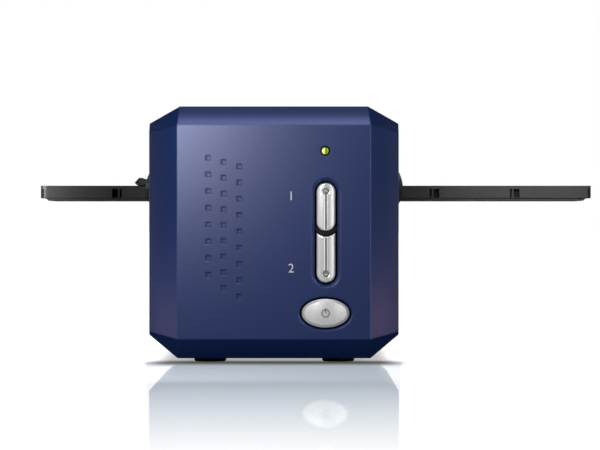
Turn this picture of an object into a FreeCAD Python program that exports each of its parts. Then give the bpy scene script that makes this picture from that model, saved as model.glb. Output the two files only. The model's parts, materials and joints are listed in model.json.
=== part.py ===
import FreeCAD, Part
import math
import os
import re
import Sketcher

# Desktop film negative scanner with its strip holder in place, in millimetres.
# X runs to the right, Y to the back and Z up. The origin lies on the table under the middle of the body.

# Driving dimensions
# Each pair is a name and its value. Names that end in share, count or angle have no length.
SIZES = [
    # Casing
    ("body_half_wide", 58.0), ("body_low", 2.0), ("roof_gap", 16.5), ("front_y", -136.0), ("rear_y", 136.0),
    ("top_cut_wide", 14.3), ("top_cut_drop", 7.9), ("bottom_cut_wide", 13.2), ("bottom_cut_rise", 10.9),
    ("wall", 2.5), ("edge_round", 0.7),
    ("top_turn_share", 0.26), ("top_side_turn_share", 0.59), ("low_turn_share", 0.36),
    ("low_side_turn_share", 0.47),
    # Chamfered front
    ("face_cut_wide", 13.3), ("face_low_rise", 9.0), ("face_top_drop", 8.8), ("chamfer_deep", 12.0),
    ("facet_top_drop", 11.6), ("facet_low_rise", 12.4), ("panel_deep", 24.0), ("face_inset_share", 0.42),
    ("overrun", 5.0),
    # Tongues that hold the casing's pieces in line
    ("tongue_wide", 12.0), ("tongue_thick", 1.2), ("tongue_deep", 4.0), ("tongue_gap", 0.1),
    ("tongue_inset", 10.0),
    # Small square dimples on the front
    ("dimple_wide", 2.4), ("dimple_deep", 0.7),
    ("dimple_one_x", -30.3), ("dimple_one_z", 94.9), ("dimple_one_pitch", 7.714), ("dimple_one_count", 8),
    ("dimple_two_x", -23.2), ("dimple_two_z", 92.9), ("dimple_two_pitch", 7.275), ("dimple_two_count", 9),
    ("dimple_three_x", -15.9), ("dimple_three_z", 90.9), ("dimple_three_pitch", 7.5125),
    ("dimple_three_count", 9),
    # Well of the two scan buttons
    ("well_side_inset", 33.9), ("well_wide", 10.2), ("well_rim_wide", 13.4), ("well_rim_deep", 1.1),
    ("button_wide", 8.6), ("button_gap", 0.8), ("upper_high", 83.4), ("upper_low", 61.1),
    ("lower_low", 37.3),
    ("divider_thick", 0.8), ("divider_inset", 0.6), ("divider_gap", 0.15), ("button_proud", 0.9),
    ("button_round", 0.8),
    ("groove_wide", 0.8), ("groove_deep", 0.3), ("dot_radius", 1.5), ("dot_deep", 0.4), ("dot_inset", 4.0),
    ("ear_wide", 2.0), ("ear_thick", 0.6), ("ear_gap", 0.3), ("ear_long", 10.0), ("press_travel", 0.8),
    ("stem_radius", 1.6), ("stem_gap", 0.3), ("press_slack", 0.1),
    # Oval power button
    ("power_shift", 0.2), ("power_z", 23.2), ("power_wide", 21.9), ("power_tall", 13.2),
    ("power_bevel", 1.1),
    ("power_ring_radius", 1.9), ("power_ring_thick", 0.35), ("power_ear_tall", 4.0),
    # Status light
    ("light_shift", 0.3), ("light_drop", 12.1), ("light_radius", 1.8), ("light_hole_radius", 2.3),
    ("light_proud", 0.3), ("light_foot_radius", 2.6), ("light_foot_thick", 1.2),
    ("nose_side_share", 0.85), ("nose_top_share", 0.5),
    # Plate, board and switches behind the buttons
    ("plate_thick", 1.5), ("plate_under", 8.7), ("plate_over", 5.9), ("plate_half_wide", 16.0),
    ("post_radius", 2.4), ("post_inset", 3.0), ("spacer_long", 6.0), ("board_thick", 1.6),
    ("switch_wide", 6.0), ("switch_tall", 3.2), ("plunger_radius", 1.4), ("plunger_long", 1.2),
    # Screws
    ("screw_radius", 1.2), ("screw_head_radius", 2.3), ("screw_head_thick", 1.5), ("screw_long", 5.0),
    ("screw_side_share", 0.6), ("screw_top_share", 0.7),
    ("screw_gap", 0.05), ("screw_spare", 1.0), ("boss_bite", 1.0), ("rear_boss_rise", 20.0),
    ("rear_boss_drop", 19.0), ("rear_boss_long", 9.0),
    # Film slots, their frames and dust doors
    ("slot_drop", 1.0), ("slot_rise", 4.5), ("slot_front_gap", 2.0), ("slot_rear_gap", 3.0),
    ("frame_rim", 2.0), ("frame_neck", 3.5), ("pad_reach", 2.5), ("pad_curve", 16.5), ("pad_lift", 0.65),
    ("pad_end", 9.0),
    ("door_axis_inset", 0.7), ("door_rest_gap", 0.2), ("door_barrel", 1.0), ("door_pin_radius", 0.6),
    ("door_pin_long", 0.8), ("door_end_gap", 0.4), ("pivot_gap", 0.05),
    ("door_reach", 8.8), ("door_thick", 1.2), ("door_grip_drop", 2.3),
    ("door_neck_share", 0.27), ("door_crown_share", 0.6), ("door_lip_share", 0.76),
    ("door_toe_share", 0.875),
    ("door_heel_share", 0.49), ("door_root_share", 0.35), ("door_neck_rise_share", 0.25),
    ("door_toe_drop_share", 0.48), ("door_root_drop_share", 0.7),
    # Feet
    ("foot_radius", 7.5), ("foot_side_inset", 28.0), ("foot_front_inset", 7.5), ("foot_rear_inset", 31.5),
    ("foot_stem_radius", 2.5), ("foot_round", 0.6),
    # Film holder and its frames
    ("axis_x", 0.6), ("frame_pitch", 38.0), ("frame_bar", 2.0), ("window_tall", 24.0), ("window_count", 6),
    ("holder_end", 16.3), ("holder_wide", 62.0), ("holder_rise", 7.4), ("holder_thick", 7.1),
    ("holder_back", 78.0), ("holder_corner", 3.0), ("lip_thick", 1.2), ("lip_inset", 2.4),
    ("lip_slope", 1.4),
    ("ledge_deep", 0.5), ("cover_thick", 2.2), ("cover_rim", 3.0), ("cover_gap", 0.2), ("film_gap", 0.4),
    ("film_wide", 35.0), ("film_spare", 4.0),
    ("notch_wide", 2.7), ("notch_tall", 4.1), ("notch_rise", 1.4), ("notch_deep", 1.6), ("eye_wide", 1.0),
    ("eye_step", 2.7), ("eye_deep", 0.8), ("hinge_pin_radius", 0.7), ("hinge_pin_long", 4.5),
    ("hinge_pin_bite", 1.5), ("hinge_inset", 1.6),
    # Film stage
    ("stage_side_gap", 9.5), ("stage_floor_thick", 3.0), ("stage_wall", 3.6), ("stage_ledge", 6.0),
    ("stage_gap", 0.3), ("stage_lip", 4.0), ("stage_lip_thick", 1.8),
    ("gate_half_wide", 20.0), ("gate_half_tall", 15.0), ("stage_travel", 28.0),
    ("bearing_half_wide", 5.0), ("bearing_below", 5.0), ("bearing_long", 14.0), ("bush_thick", 1.5),
    ("spring_thick", 0.4), ("spring_tall", 3.0), ("spring_long", 26.0), ("spring_bow", 1.4),
    ("spring_room", 2.2), ("spring_ramp", 5.0), ("spring_nose", 0.8), ("spring_rise", 2.0),
    # Guide rods
    ("rod_inset", 8.0), ("rod_drop", 6.0), ("rod_radius", 2.5), ("rod_gap", 0.05),
    # Rack, drive gear and motor
    ("gear_module", 1.0), ("gear_teeth_count", 20), ("pinion_teeth_count", 12), ("addendum_share", 0.85),
    ("dedendum_share", 1.1), ("backlash", 0.12), ("pressure_angle", 20.0), ("mesh_step_count", 7),
    ("flank_step_count", 4), ("drive_rise", 23.0), ("gear_back", 18.0), ("gear_wide", 5.0),
    ("rack_wide", 4.0),
    ("rack_back", 8.0), ("rack_teeth_count", 19), ("rack_teeth_ahead_count", 15), ("axle_radius", 1.5),
    ("axle_head_radius", 2.6), ("axle_head_thick", 0.8), ("motor_radius", 11.5), ("motor_long", 16.0),
    ("motor_side_gap", 6.1), ("motor_boss_radius", 5.0), ("shaft_radius", 1.2), ("side_gap", 0.4),
    ("bracket_thick", 2.0), ("bracket_rise", 5.0), ("bracket_ahead", 7.0), ("bracket_behind", 28.0),
    ("bracket_foot", 10.0),
    # Chassis
    ("deck_rise", 13.4), ("deck_thick", 3.0), ("deck_side_gap", 8.5), ("deck_rear_gap", 24.0),
    ("bulkhead_thick", 3.0), ("bulkhead_gap", 4.0), ("post_side_inset", 5.0),
    ("boss_radius", 4.0), ("boss_inset", 6.0), ("upright_half_wide", 30.0), ("upright_rise", 20.0),
    ("board_boss_radius", 3.0), ("board_boss_inset", 4.0),
    # Optics
    ("optic_rise", 19.0), ("scan_back", 14.0), ("mirror_long", 24.0), ("mirror_thick", 2.0),
    ("cradle_back", 18.0), ("cradle_front", 12.0), ("cradle_cheek", 3.0), ("light_way_radius", 13.0),
    ("lens_ahead", 12.1), ("lens_long", 34.0), ("lens_radius", 12.0), ("lens_step", 2.0),
    ("glass_radius", 8.5),
    ("lens_nose_long", 5.0), ("glass_inset", 2.5),
    ("glass_thick", 3.0), ("glass_bulge", 1.2), ("saddle_half_wide", 17.0), ("saddle_long", 16.0),
    ("clamp_thick", 1.0), ("lens_gap", 0.1),
    ("sensor_board_half_wide", 27.0), ("sensor_board_drop", 14.0), ("sensor_board_rise", 15.0),
    ("sensor_half_wide", 21.0), ("sensor_tall", 8.0), ("sensor_thick", 3.0),
    # Lamp
    ("lamp_rise", 5.5), ("lamp_half_wide", 33.0), ("lamp_wide", 16.0), ("lamp_tall", 10.0),
    ("lamp_wall", 1.5),
    ("lamp_tube_radius", 1.6), ("diffuser_thick", 1.2), ("bridge_half_wide", 12.0), ("bridge_thick", 2.0),
    # Main board and sockets
    ("board_side_gap", 2.0), ("main_long", 149.5), ("main_rear_gap", 4.0), ("board_rise", 4.5),
    ("usb_x", 14.0), ("usb_wide", 12.0), ("usb_tall", 11.0), ("usb_deep", 16.0), ("usb_wall", 0.6),
    ("usb_tongue_wide", 5.6), ("usb_tongue_tall", 3.2),
    ("jack_x", -14.0), ("jack_wide", 9.0), ("jack_tall", 11.0), ("jack_deep", 14.0), ("jack_radius", 3.0),
    ("jack_pin_radius", 0.9), ("socket_mouth_share", 0.7), ("socket_pin_share", 0.8),
    ("jack_pin_share", 0.75),
    ("socket_gap", 0.3), ("chip_wide", 20.0), ("chip_tall", 1.8), ("chip_small_wide", 12.0),
]

# Places and sizes that follow from the driving ones, as expressions
PLACES = {
    # Heights, from the table up: floor, main board, deck, drive, film path, lamp and roof
    "floor_z": "body_low + wall",
    "main_low": "floor_z + board_rise",
    "deck_low": "main_low + board_thick + deck_rise",
    "deck_top": "deck_low + deck_thick",
    "optic_z": "deck_top + optic_rise",
    "gear_z": "deck_top + drive_rise",
    "gear_radius": "gear_module * gear_teeth_count / 2",
    "rack_pitch_z": "gear_z + gear_radius",
    "stage_floor_low": "rack_pitch_z + rack_back",
    "rod_z": "stage_floor_low - rod_drop",
    "bearing_low": "rod_z - bearing_below",
    "holder_low": "stage_floor_low + holder_rise",
    "holder_high": "holder_low + holder_thick",
    "spring_low": "holder_low + spring_rise",
    "slot_low": "holder_low - slot_drop",
    "slot_high": "holder_high + slot_rise",
    "split_z": "slot_low - frame_rim",
    "pad_middle_z": "(slot_low + slot_high) / 2 + pad_lift",
    "door_axis_z": "holder_high + door_rest_gap + door_grip_drop",
    "lamp_low": "holder_high + lamp_rise",
    "lamp_high": "lamp_low + lamp_tall",
    "body_high": "lamp_high + bridge_thick + roof_gap + wall",
    "top_cut_z": "body_high - top_cut_drop",
    "bottom_cut_z": "body_low + bottom_cut_rise",
    "rear_boss_low": "body_low + rear_boss_rise",
    "rear_boss_high": "body_high - rear_boss_drop",
    "face_high": "body_high - face_top_drop",
    "face_low": "body_low + face_low_rise",
    "light_z": "face_high - light_drop",
    "plate_high": "light_z + plate_over",
    "plate_low": "power_z - plate_under",
    "upper_arc_z": "upper_low + button_wide / 2",
    # Widths, from the side walls inwards
    "inner_half_wide": "body_half_wide - wall",
    "top_half_wide": "body_half_wide - top_cut_wide",
    "bottom_half_wide": "body_half_wide - bottom_cut_wide",
    "face_half_wide": "body_half_wide - face_cut_wide",
    "rear_boss_x": "inner_half_wide - boss_radius + boss_bite",
    "foot_x": "body_half_wide - foot_side_inset",
    "door_axis_x": "body_half_wide - door_axis_inset",
    "deck_half_wide": "inner_half_wide - deck_side_gap",
    "post_x": "deck_half_wide - post_side_inset",
    "main_half_wide": "post_x - boss_radius - board_side_gap",
    "stage_half_wide": "inner_half_wide - stage_side_gap",
    "rod_x": "stage_half_wide - rod_inset",
    "bracket_x": "inner_half_wide - motor_side_gap - motor_long - bracket_thick",
    "gear_x": "bracket_x - side_gap - gear_wide",
    "mirror_half_wide": "gear_x - side_gap - cradle_cheek - axis_x",
    "well_x": "body_half_wide - well_side_inset",
    "power_x": "well_x - power_shift",
    "light_x": "well_x - light_shift",
    "plate_left": "well_x - plate_half_wide",
    "plate_right": "well_x + plate_half_wide",
    # Depths, from the front back
    "panel_back": "front_y + wall",
    "panel_y": "front_y + panel_deep",
    "ear_back": "panel_back + ear_gap + ear_thick",
    "plate_y": "ear_back + press_travel + ear_gap",
    "plate_back": "plate_y + plate_thick",
    "board_y": "plate_back + spacer_long",
    "board_back": "board_y + board_thick",
    "plunger_y": "board_y - switch_tall - plunger_long",
    "holder_y": "front_y + holder_back",
    "holder_front": "holder_y - holder_wide / 2",
    "holder_rear": "holder_y + holder_wide / 2",
    "slot_front_y": "holder_front - slot_front_gap",
    "slot_rear_y": "holder_rear + stage_travel + slot_rear_gap",
    "stage_front": "holder_front - stage_gap - stage_wall",
    "stage_rear": "holder_rear + stage_gap + stage_wall",
    "bulkhead_front": "stage_front - bulkhead_gap - bulkhead_thick",
    "bulkhead_rear": "stage_rear + stage_travel + bulkhead_gap",
    "gear_y": "holder_y + gear_back",
    "scan_y": "holder_y + scan_back",
    "lens_front_y": "bulkhead_rear + bulkhead_thick + lens_ahead",
    "housing_rear": "rear_y - wall",
    "deck_rear_y": "rear_y - deck_rear_gap",
    "main_rear_y": "housing_rear - main_rear_gap",
    "main_front_y": "main_rear_y - main_long",
    # Film holder and its frames
    "holder_x": "axis_x + frame_pitch / 2",
    "holder_half_long": "frame_pitch * window_count / 2 + holder_end",
    "window_wide": "frame_pitch - frame_bar",
    "film_long": "frame_pitch * window_count + film_spare",
}
VALUES = dict(SIZES)

document = FreeCAD.newDocument("FilmScanner")
sheet = document.addObject("Spreadsheet::Sheet", "Sizes")
for row, (alias, number) in enumerate(SIZES, start=1):
    sheet.set(f"A{row}", alias)
    sheet.set(f"B{row}", str(number))
    sheet.setAlias(f"B{row}", alias)
document.recompute()

WORD = re.compile(r"[A-Za-z_][A-Za-z_0-9]*")
PARALLEL_SHARE = 0.999
NODES = []
TURNS = {
    "Z": FreeCAD.Rotation(),
    "Y": FreeCAD.Rotation(FreeCAD.Vector(1, 0, 0), -90),
    "-Y": FreeCAD.Rotation(FreeCAD.Vector(1, 0, 0), 90),
    "X": FreeCAD.Rotation(FreeCAD.Vector(0, 1, 0), 90),
    "-Z": FreeCAD.Rotation(FreeCAD.Vector(1, 0, 0), 180),
}


def linked(text):
    """Point every size named in an expression at its cell, and write out every place."""
    def word(found):
        name = found[0]
        if name in PLACES:
            return f"({linked(PLACES[name])})"
        return "Sizes." + name if name in VALUES else name
    return WORD.sub(word, text)


def bind(thing, field, text):
    thing.setExpression(field, linked(text))


def place(thing, x, y, z, direction="Z"):
    thing.Placement = FreeCAD.Placement(FreeCAD.Vector(), TURNS[direction])
    for axis, text in zip("xyz", (x, y, z)):
        if text != "0":
            bind(thing, "Placement.Base." + axis, text)
    return thing


def node(name, thing):
    """Keep a finished piece under the name that its file gets."""
    thing.Label = name
    NODES.append(thing)
    return thing


def block(name, x, y, z):
    """A box from pairs of low and high places."""
    thing = document.addObject("Part::Box", name)
    for field, (low, high) in zip(("Length", "Width", "Height"), (x, y, z)):
        bind(thing, field, f"({high}) - ({low})")
    return place(thing, x[0], y[0], z[0])


def rod(name, start, radius, length, direction="Z"):
    thing = document.addObject("Part::Cylinder", name)
    bind(thing, "Radius", radius)
    bind(thing, "Height", length)
    return place(thing, *start, direction)


def cone(name, start, radius, end_radius, length, direction="Z"):
    thing = document.addObject("Part::Cone", name)
    bind(thing, "Radius1", radius)
    bind(thing, "Radius2", end_radius)
    bind(thing, "Height", length)
    return place(thing, *start, direction)


def fuse(name, *pieces):
    thing = document.addObject("Part::MultiFuse", name)
    thing.Shapes = list(pieces)
    thing.Refine = True
    return thing


def cut(name, base, *tools):
    thing = document.addObject("Part::Cut", name)
    thing.Base = base
    thing.Tool = tools[0] if len(tools) == 1 else fuse(name + "_tools", *tools)
    thing.Refine = True
    return thing


def common(name, *pieces):
    thing = document.addObject("Part::MultiCommon", name)
    thing.Shapes = list(pieces)
    thing.Refine = True
    return thing


def group(name, *pieces):
    thing = document.addObject("Part::Compound", name)
    thing.Links = list(pieces)
    return thing


def outline(sketch, points):
    """Close a polygon through points whose two places are expressions."""
    count = len(points)
    for index in range(count):
        turn = 2 * math.pi * index / count
        onward = 2 * math.pi * (index + 1) / count
        start = FreeCAD.Vector(math.cos(turn), math.sin(turn), 0)
        end = FreeCAD.Vector(math.cos(onward), math.sin(onward), 0)
        sketch.addGeometry(Part.LineSegment(start, end))
    for index in range(count):
        sketch.addConstraint(Sketcher.Constraint("Coincident", index, 2, (index + 1) % count, 1))
    for index, (across, up) in enumerate(points):
        for kind, text in (("DistanceX", across), ("DistanceY", up)):
            line = sketch.addConstraint(Sketcher.Constraint(kind, -1, 1, index, 1, 1.0))
            bind(sketch, f"Constraints[{line}]", text)
    return sketch


def plane_sketch(body, name, plane, offset, points):
    sketch = body.newObject("Sketcher::SketchObject", name)
    origin = next(part for part in body.Origin.OriginFeatures if part.Role == plane + "_Plane")
    sketch.AttachmentSupport = [(origin, "")]
    sketch.MapMode = "FlatFace"
    sign = "-" if plane == "XZ" else ""
    bind(sketch, "AttachmentOffset.Base.z", f"{sign}({offset})")
    return outline(sketch, points)


def prism(name, plane, span, points):
    """A padded profile that runs from the low to the high place of its span."""
    body = document.addObject("PartDesign::Body", name)
    sketch = plane_sketch(body, name + "_profile", plane, span[0], points)
    pad = body.newObject("PartDesign::Pad", name + "_pad")
    pad.Profile = sketch
    bind(pad, "Length", f"({span[1]}) - ({span[0]})")
    pad.Reversed = plane == "XZ"
    return body


def turned(name, start, points, direction="Z"):
    """A piece turned about its own axis from points given as radius and height."""
    body = document.addObject("PartDesign::Body", name)
    sketch = plane_sketch(body, name + "_profile", "XZ", "0", points)
    revolution = body.newObject("PartDesign::Revolution", name + "_turn")
    revolution.Profile = sketch
    revolution.ReferenceAxis = (sketch, ["V_Axis"])
    revolution.Angle = 360
    return place(body, *start, direction)


def size(name):
    return float(sheet.get(name))


def runs_along(edge, axis):
    """True for a straight edge that lies along the named axis."""
    return abs(getattr(edge.tangentAt(edge.FirstParameter), axis)) > PARALLEL_SHARE


def rounded(name, base, radius, choose):
    """Round the edges that the choice names, by a size from the sheet."""
    document.recompute()
    thing = document.addObject("Part::Fillet", name)
    thing.Base = base
    edges = [index for index, edge in enumerate(base.Shape.Edges, start=1) if choose(edge)]
    thing.Edges = [(index, size(radius), size(radius)) for index in edges]
    return thing


# Outer form of the casing

def octagon(inset):
    """Section of the casing across Y, drawn in by an inset."""
    top = f"top_half_wide - ({inset}) * top_turn_share"
    top_side = f"top_cut_z - ({inset}) * top_side_turn_share"
    low = f"bottom_half_wide - ({inset}) * low_turn_share"
    low_side = f"bottom_cut_z + ({inset}) * low_side_turn_share"
    half, high, base = f"body_half_wide - ({inset})", f"body_high - ({inset})", f"body_low + ({inset})"
    right = [(low, base), (half, low_side), (half, top_side), (top, high)]
    left = [(f"-({across})", up) for across, up in reversed(right)]
    return right + left


def casing_form(name, low, high, inset="0"):
    return prism(name, "XZ", (low, high), octagon(inset))


def corner_cutter(name, side, level, inset):
    """Slanting block that cuts the facet at one corner of the front."""
    if level == "top":
        corner, sign, run, rise, drop = "face_high", 1, "top_cut_wide", "face_top_drop", "facet_top_drop"
    else:
        corner, sign, run, rise, drop = "face_low", -1, "bottom_cut_wide", "face_low_rise", "facet_low_rise"
    lean = f"(face_cut_wide - {run})"
    across = f"face_half_wide - {lean} - ({inset}) * face_inset_share"
    up = f"{corner} - {sign} * ({rise} + ({inset}) * face_inset_share)"
    points = []
    for run_count, drop_count in ((4, -4), (6, 6), (-4, 4)):
        points.append((f"{side} * ({across} + {run} * {run_count})",
                       f"{up} + {sign} * {drop} * {drop_count}"))
    sketch = document.addObject("Sketcher::SketchObject", name + "_profile")
    sketch.Placement = FreeCAD.Placement(FreeCAD.Vector(), TURNS["-Y"])
    bind(sketch, "Placement.Base.y", f"front_y + ({inset}) - chamfer_deep")
    block_cut = document.addObject("Part::Extrusion", name)
    block_cut.Base = outline(sketch, points)
    block_cut.DirMode = "Custom"
    bind(block_cut, "Dir.x", f"{side} * {lean} * 4")
    bind(block_cut, "Dir.y", "chamfer_deep * 4")
    bind(block_cut, "Dir.z", f"{sign} * {rise} * 4")
    block_cut.Solid = True
    return block_cut


def front_form(name, inset):
    """Front end of the casing: its prism less four chamfers and four corner facets."""
    solid = casing_form(name + "_block", f"front_y + ({inset})", f"panel_y + ({inset})", inset)
    start = f"front_y + ({inset})"
    shrink = f"({inset}) * face_inset_share"
    cutters = []
    for side in ("1", "-1"):
        near = f"{side} * (face_half_wide - face_cut_wide - {shrink})"
        far = f"{side} * (face_half_wide + face_cut_wide * 3 - {shrink})"
        points = [(near, f"{start} - chamfer_deep"), (far, f"{start} - chamfer_deep"),
                  (far, f"{start} + chamfer_deep * 3")]
        span = ("body_low - overrun", "body_high + overrun")
        cutters.append(prism(f"{name}_side_{len(cutters)}", "XY", span, points))
        for level in ("top", "low"):
            cutters.append(corner_cutter(f"{name}_corner_{len(cutters)}", side, level, inset))
    for corner, sign, slope in (("face_high", "1", "face_top_drop"), ("face_low", "-1", "face_low_rise")):
        near = f"{corner} - {sign} * ({slope} + {shrink})"
        far = f"{corner} + {sign} * ({slope} * 3 - {shrink})"
        points = [(f"{start} - chamfer_deep", near), (f"{start} - chamfer_deep", far),
                  (f"{start} + chamfer_deep * 3", far)]
        span = ("-body_half_wide - overrun", "body_half_wide + overrun")
        cutters.append(prism(f"{name}_level_{len(cutters)}", "YZ", span, points))
    for cutter in cutters:
        solid = cut(f"{name}_after_{cutter.Name}", solid, cutter)
    return solid


# Shapes that repeat
def capsule(name, x, low, high, wide, start, end):
    """Round-ended bar that stands upright and runs along Y."""
    radius = f"(({wide}) / 2)"
    middle = block(name + "_middle", (f"{x} - {radius}", f"{x} + {radius}"), (start, end),
                   (f"{low} + {radius}", f"{high} - {radius}"))
    ends = [rod(f"{name}_end_{index}", (x, start, z), radius, f"({end}) - ({start})", "Y")
            for index, z in enumerate((f"{low} + {radius}", f"{high} - {radius}"))]
    return fuse(name, middle, *ends)


def capsule_rim(name, x, low, high, wide, end_wide, start, end):
    """Round-ended bevel that narrows along Y."""
    near, far = f"(({wide}) / 2)", f"(({end_wide}) / 2)"
    middle = document.addObject("Part::Wedge", name + "_middle")
    for field, text in (("Xmin", f"{x} - {near}"), ("Xmax", f"{x} + {near}"), ("X2min", f"{x} - {far}"),
                        ("X2max", f"{x} + {far}"), ("Ymin", start), ("Ymax", end),
                        ("Zmin", f"{low} + {far}"), ("Zmax", f"{high} - {far}"),
                        ("Z2min", f"{low} + {far}"), ("Z2max", f"{high} - {far}")):
        bind(middle, field, text)
    ends = [cone(f"{name}_end_{index}", (x, start, z), near, far, f"({end}) - ({start})", "Y")
            for index, z in enumerate((f"{low} + {far}", f"{high} - {far}"))]
    return fuse(name, middle, *ends)


def ellipse(name, x, y, z, wide, tall):
    thing = document.addObject("Part::Ellipse", name)
    bind(thing, "MajorRadius", f"({wide}) / 2")
    bind(thing, "MinorRadius", f"({tall}) / 2")
    return place(thing, x, y, z, "Y")


def oval(name, x, z, wide, tall, start, end):
    """Oval bar along Y."""
    bar = document.addObject("Part::Extrusion", name)
    bar.Base = ellipse(name + "_end", x, start, z, wide, tall)
    bar.DirMode = "Normal"
    bind(bar, "LengthFwd", f"({end}) - ({start})")
    bar.Solid = True
    return bar


def oval_bevel(name, x, z, wide, tall, gain, start, end):
    """Oval that grows by a gain on each side along Y."""
    loft = document.addObject("Part::Loft", name)
    loft.Sections = [ellipse(name + "_near", x, start, z, wide, tall),
                     ellipse(name + "_far", x, end, z, f"{wide} + 2 * {gain}", f"{tall} + 2 * {gain}")]
    loft.Solid = True
    loft.Ruled = True
    return loft


def screw(name, seat, direction):
    """Pan-head screw whose head stands on its seat."""
    points = [("0", "-screw_long"), ("screw_radius", "-screw_long"), ("screw_radius", "0"),
              ("screw_head_radius", "0"), ("screw_head_radius", "screw_head_thick * screw_side_share"),
              ("screw_head_radius * screw_top_share", "screw_head_thick"), ("0", "screw_head_thick")]
    return turned(name, seat, points, direction)


def screw_hole(name, seat, direction, deep):
    """Clear hole for a screw, sunk from its seat by a depth against the head's direction."""
    back = {"Z": "-Z", "Y": "-Y"}[direction]
    return rod(name, seat, "screw_radius + screw_gap", deep, back)


def tube(name, start, outer, bore, length, direction):
    return cut(name, rod(name + "_outer", start, outer, length, direction),
               rod(name + "_bore", start, bore, length, direction))


def on_side(side, near, far):
    """A span across X on the left or the right, from its places on the right."""
    return (near, far) if side == "1" else (f"-({far})", f"-({near})")


def mirrored(x):
    return [x, f"(-({x}))"]


# Front panel: chamfered shell with the openings for the light and the buttons
def dimples():
    """Three staggered columns of small square recesses."""
    cells = []
    for word in ("one", "two", "three"):
        for index in range(int(size(f"dimple_{word}_count"))):
            x = f"dimple_{word}_x"
            z = f"(dimple_{word}_z - dimple_{word}_pitch * {index})"
            cells.append(block(f"dimple_{word}_{index}",
                               (f"{x} - dimple_wide / 2", f"{x} + dimple_wide / 2"),
                               ("front_y - overrun", "front_y + dimple_deep"),
                               (f"{z} - dimple_wide / 2", f"{z} + dimple_wide / 2")))
    return group("dimples", *cells)


def corner_places():
    """The four corners where the plate behind the buttons is held."""
    return [(x, z) for x in ("(plate_left + post_inset)", "(plate_right - post_inset)")
            for z in ("(plate_low + post_inset)", "(plate_high - post_inset)")]


def panel_tongues():
    """Tabs at the panel's rear that stand inside the housings' roof and floor."""
    tabs = []
    for x in mirrored("foot_x"):
        across = (f"{x} - tongue_wide / 2", f"{x} + tongue_wide / 2")
        for wall, inner, sign in (("body_high - wall / 2", "body_high - wall", -1),
                                  ("floor_z - wall / 2", "floor_z", 1)):
            near, far = f"{inner} + {sign} * tongue_gap", f"{inner} + {sign} * (tongue_gap + tongue_thick)"
            for word, y, z in (("root", ("panel_y - tongue_deep", "panel_y"), (wall, far)),
                               ("tab", ("panel_y - tongue_deep / 2", "panel_y + tongue_deep"), (near, far))):
                tabs.append(block(f"panel_{word}_{len(tabs)}", across, y, z if sign == 1 else z[::-1]))
    return tabs


def front_panel():
    outer = front_form("front_outer", "0")
    rim = size("front_y") + size("panel_deep") - size("press_slack")
    smooth = rounded("front_rounded", outer, "edge_round", lambda edge: edge.CenterOfMass.y < rim)
    shell = cut("front_shell", smooth, front_form("front_inner", "wall"))
    through = ("front_y - overrun", "panel_back + overrun")
    openings = [
        capsule("well", "well_x", "(lower_low - button_gap)", "(upper_high + button_gap)", "well_wide",
                *through),
        capsule_rim("well_rim", "well_x", "(lower_low - button_gap)", "(upper_high + button_gap)",
                    "well_rim_wide", "well_wide", "front_y", "front_y + well_rim_deep"),
        oval("power_hole", "power_x", "power_z", "(power_wide + button_gap * 2)",
             "(power_tall + button_gap * 2)", *through),
        oval_bevel("power_rim", "power_x", "power_z", "(power_wide + button_gap * 4)",
                   "(power_tall + button_gap * 4)", "(-button_gap)", "front_y", "front_y + button_gap"),
        rod("light_hole", ("light_x", through[0], "light_z"), "light_hole_radius",
            f"({through[1]}) - ({through[0]})", "Y"),
    ]
    pierced = cut("front_pierced", shell, *openings)
    pierced = cut("front_dimpled", pierced, dimples())
    posts, holes = [], []
    for index, (x, z) in enumerate(corner_places()):
        posts.append(rod(f"post_{index}", (x, "panel_back - wall / 2", z), "post_radius",
                         "plate_y - panel_back + wall / 2", "Y"))
        holes.append(rod(f"post_hole_{index}", (x, "panel_back", z), "screw_radius + screw_gap",
                         "plate_y - panel_back", "Y"))
    solid = fuse("panel_with_posts", pierced, *posts, *panel_tongues())
    node("front_panel", cut("panel_drilled", solid, group("post_holes", *holes)))


# Buttons, and the plate, board and switches behind them
def ears(name, x, low, high, wide):
    """Two tabs behind the panel that keep a button from falling out."""
    half = f"(({wide}) / 2 + ear_wide)"
    return block(name, (f"{x} - {half}", f"{x} + {half}"), ("panel_back + ear_gap", "ear_back"), (low, high))


def stem(name, x, z):
    end = "(plunger_y - press_travel - press_slack)"
    return rod(name, (x, "ear_back - ear_thick", z), "stem_radius", f"{end} - ear_back + ear_thick", "Y")


def on_front_face(edge):
    """True for an edge that lies in the buttons' front plane."""
    box = edge.BoundBox
    front = size("front_y") - size("button_proud")
    return box.YMax < front + size("press_slack") and box.YMin > front - size("press_slack")


def scan_button(name, cap, ear_middle, stem_z, dot_z, groove):
    smooth = rounded(name + "_rounded", cap, "button_round", on_front_face)
    front = "(front_y - button_proud)"
    marks = [block(name + "_groove", ("well_x - groove_wide / 2", "well_x + groove_wide / 2"),
                   (f"{front} - groove_deep", f"{front} + groove_deep"), groove),
             tube(name + "_dot", ("well_x", f"{front} - dot_deep", dot_z), "dot_radius", "dot_radius / 2",
                  "dot_deep * 2", "Y")]
    body = fuse(name + "_body", smooth,
                ears(name + "_ears", "well_x", f"{ear_middle} - ear_long / 2",
                     f"{ear_middle} + ear_long / 2",
                     "well_wide"),
                stem(name + "_stem", "well_x", stem_z))
    node(name, cut(name + "_marked", body, *marks))


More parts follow.
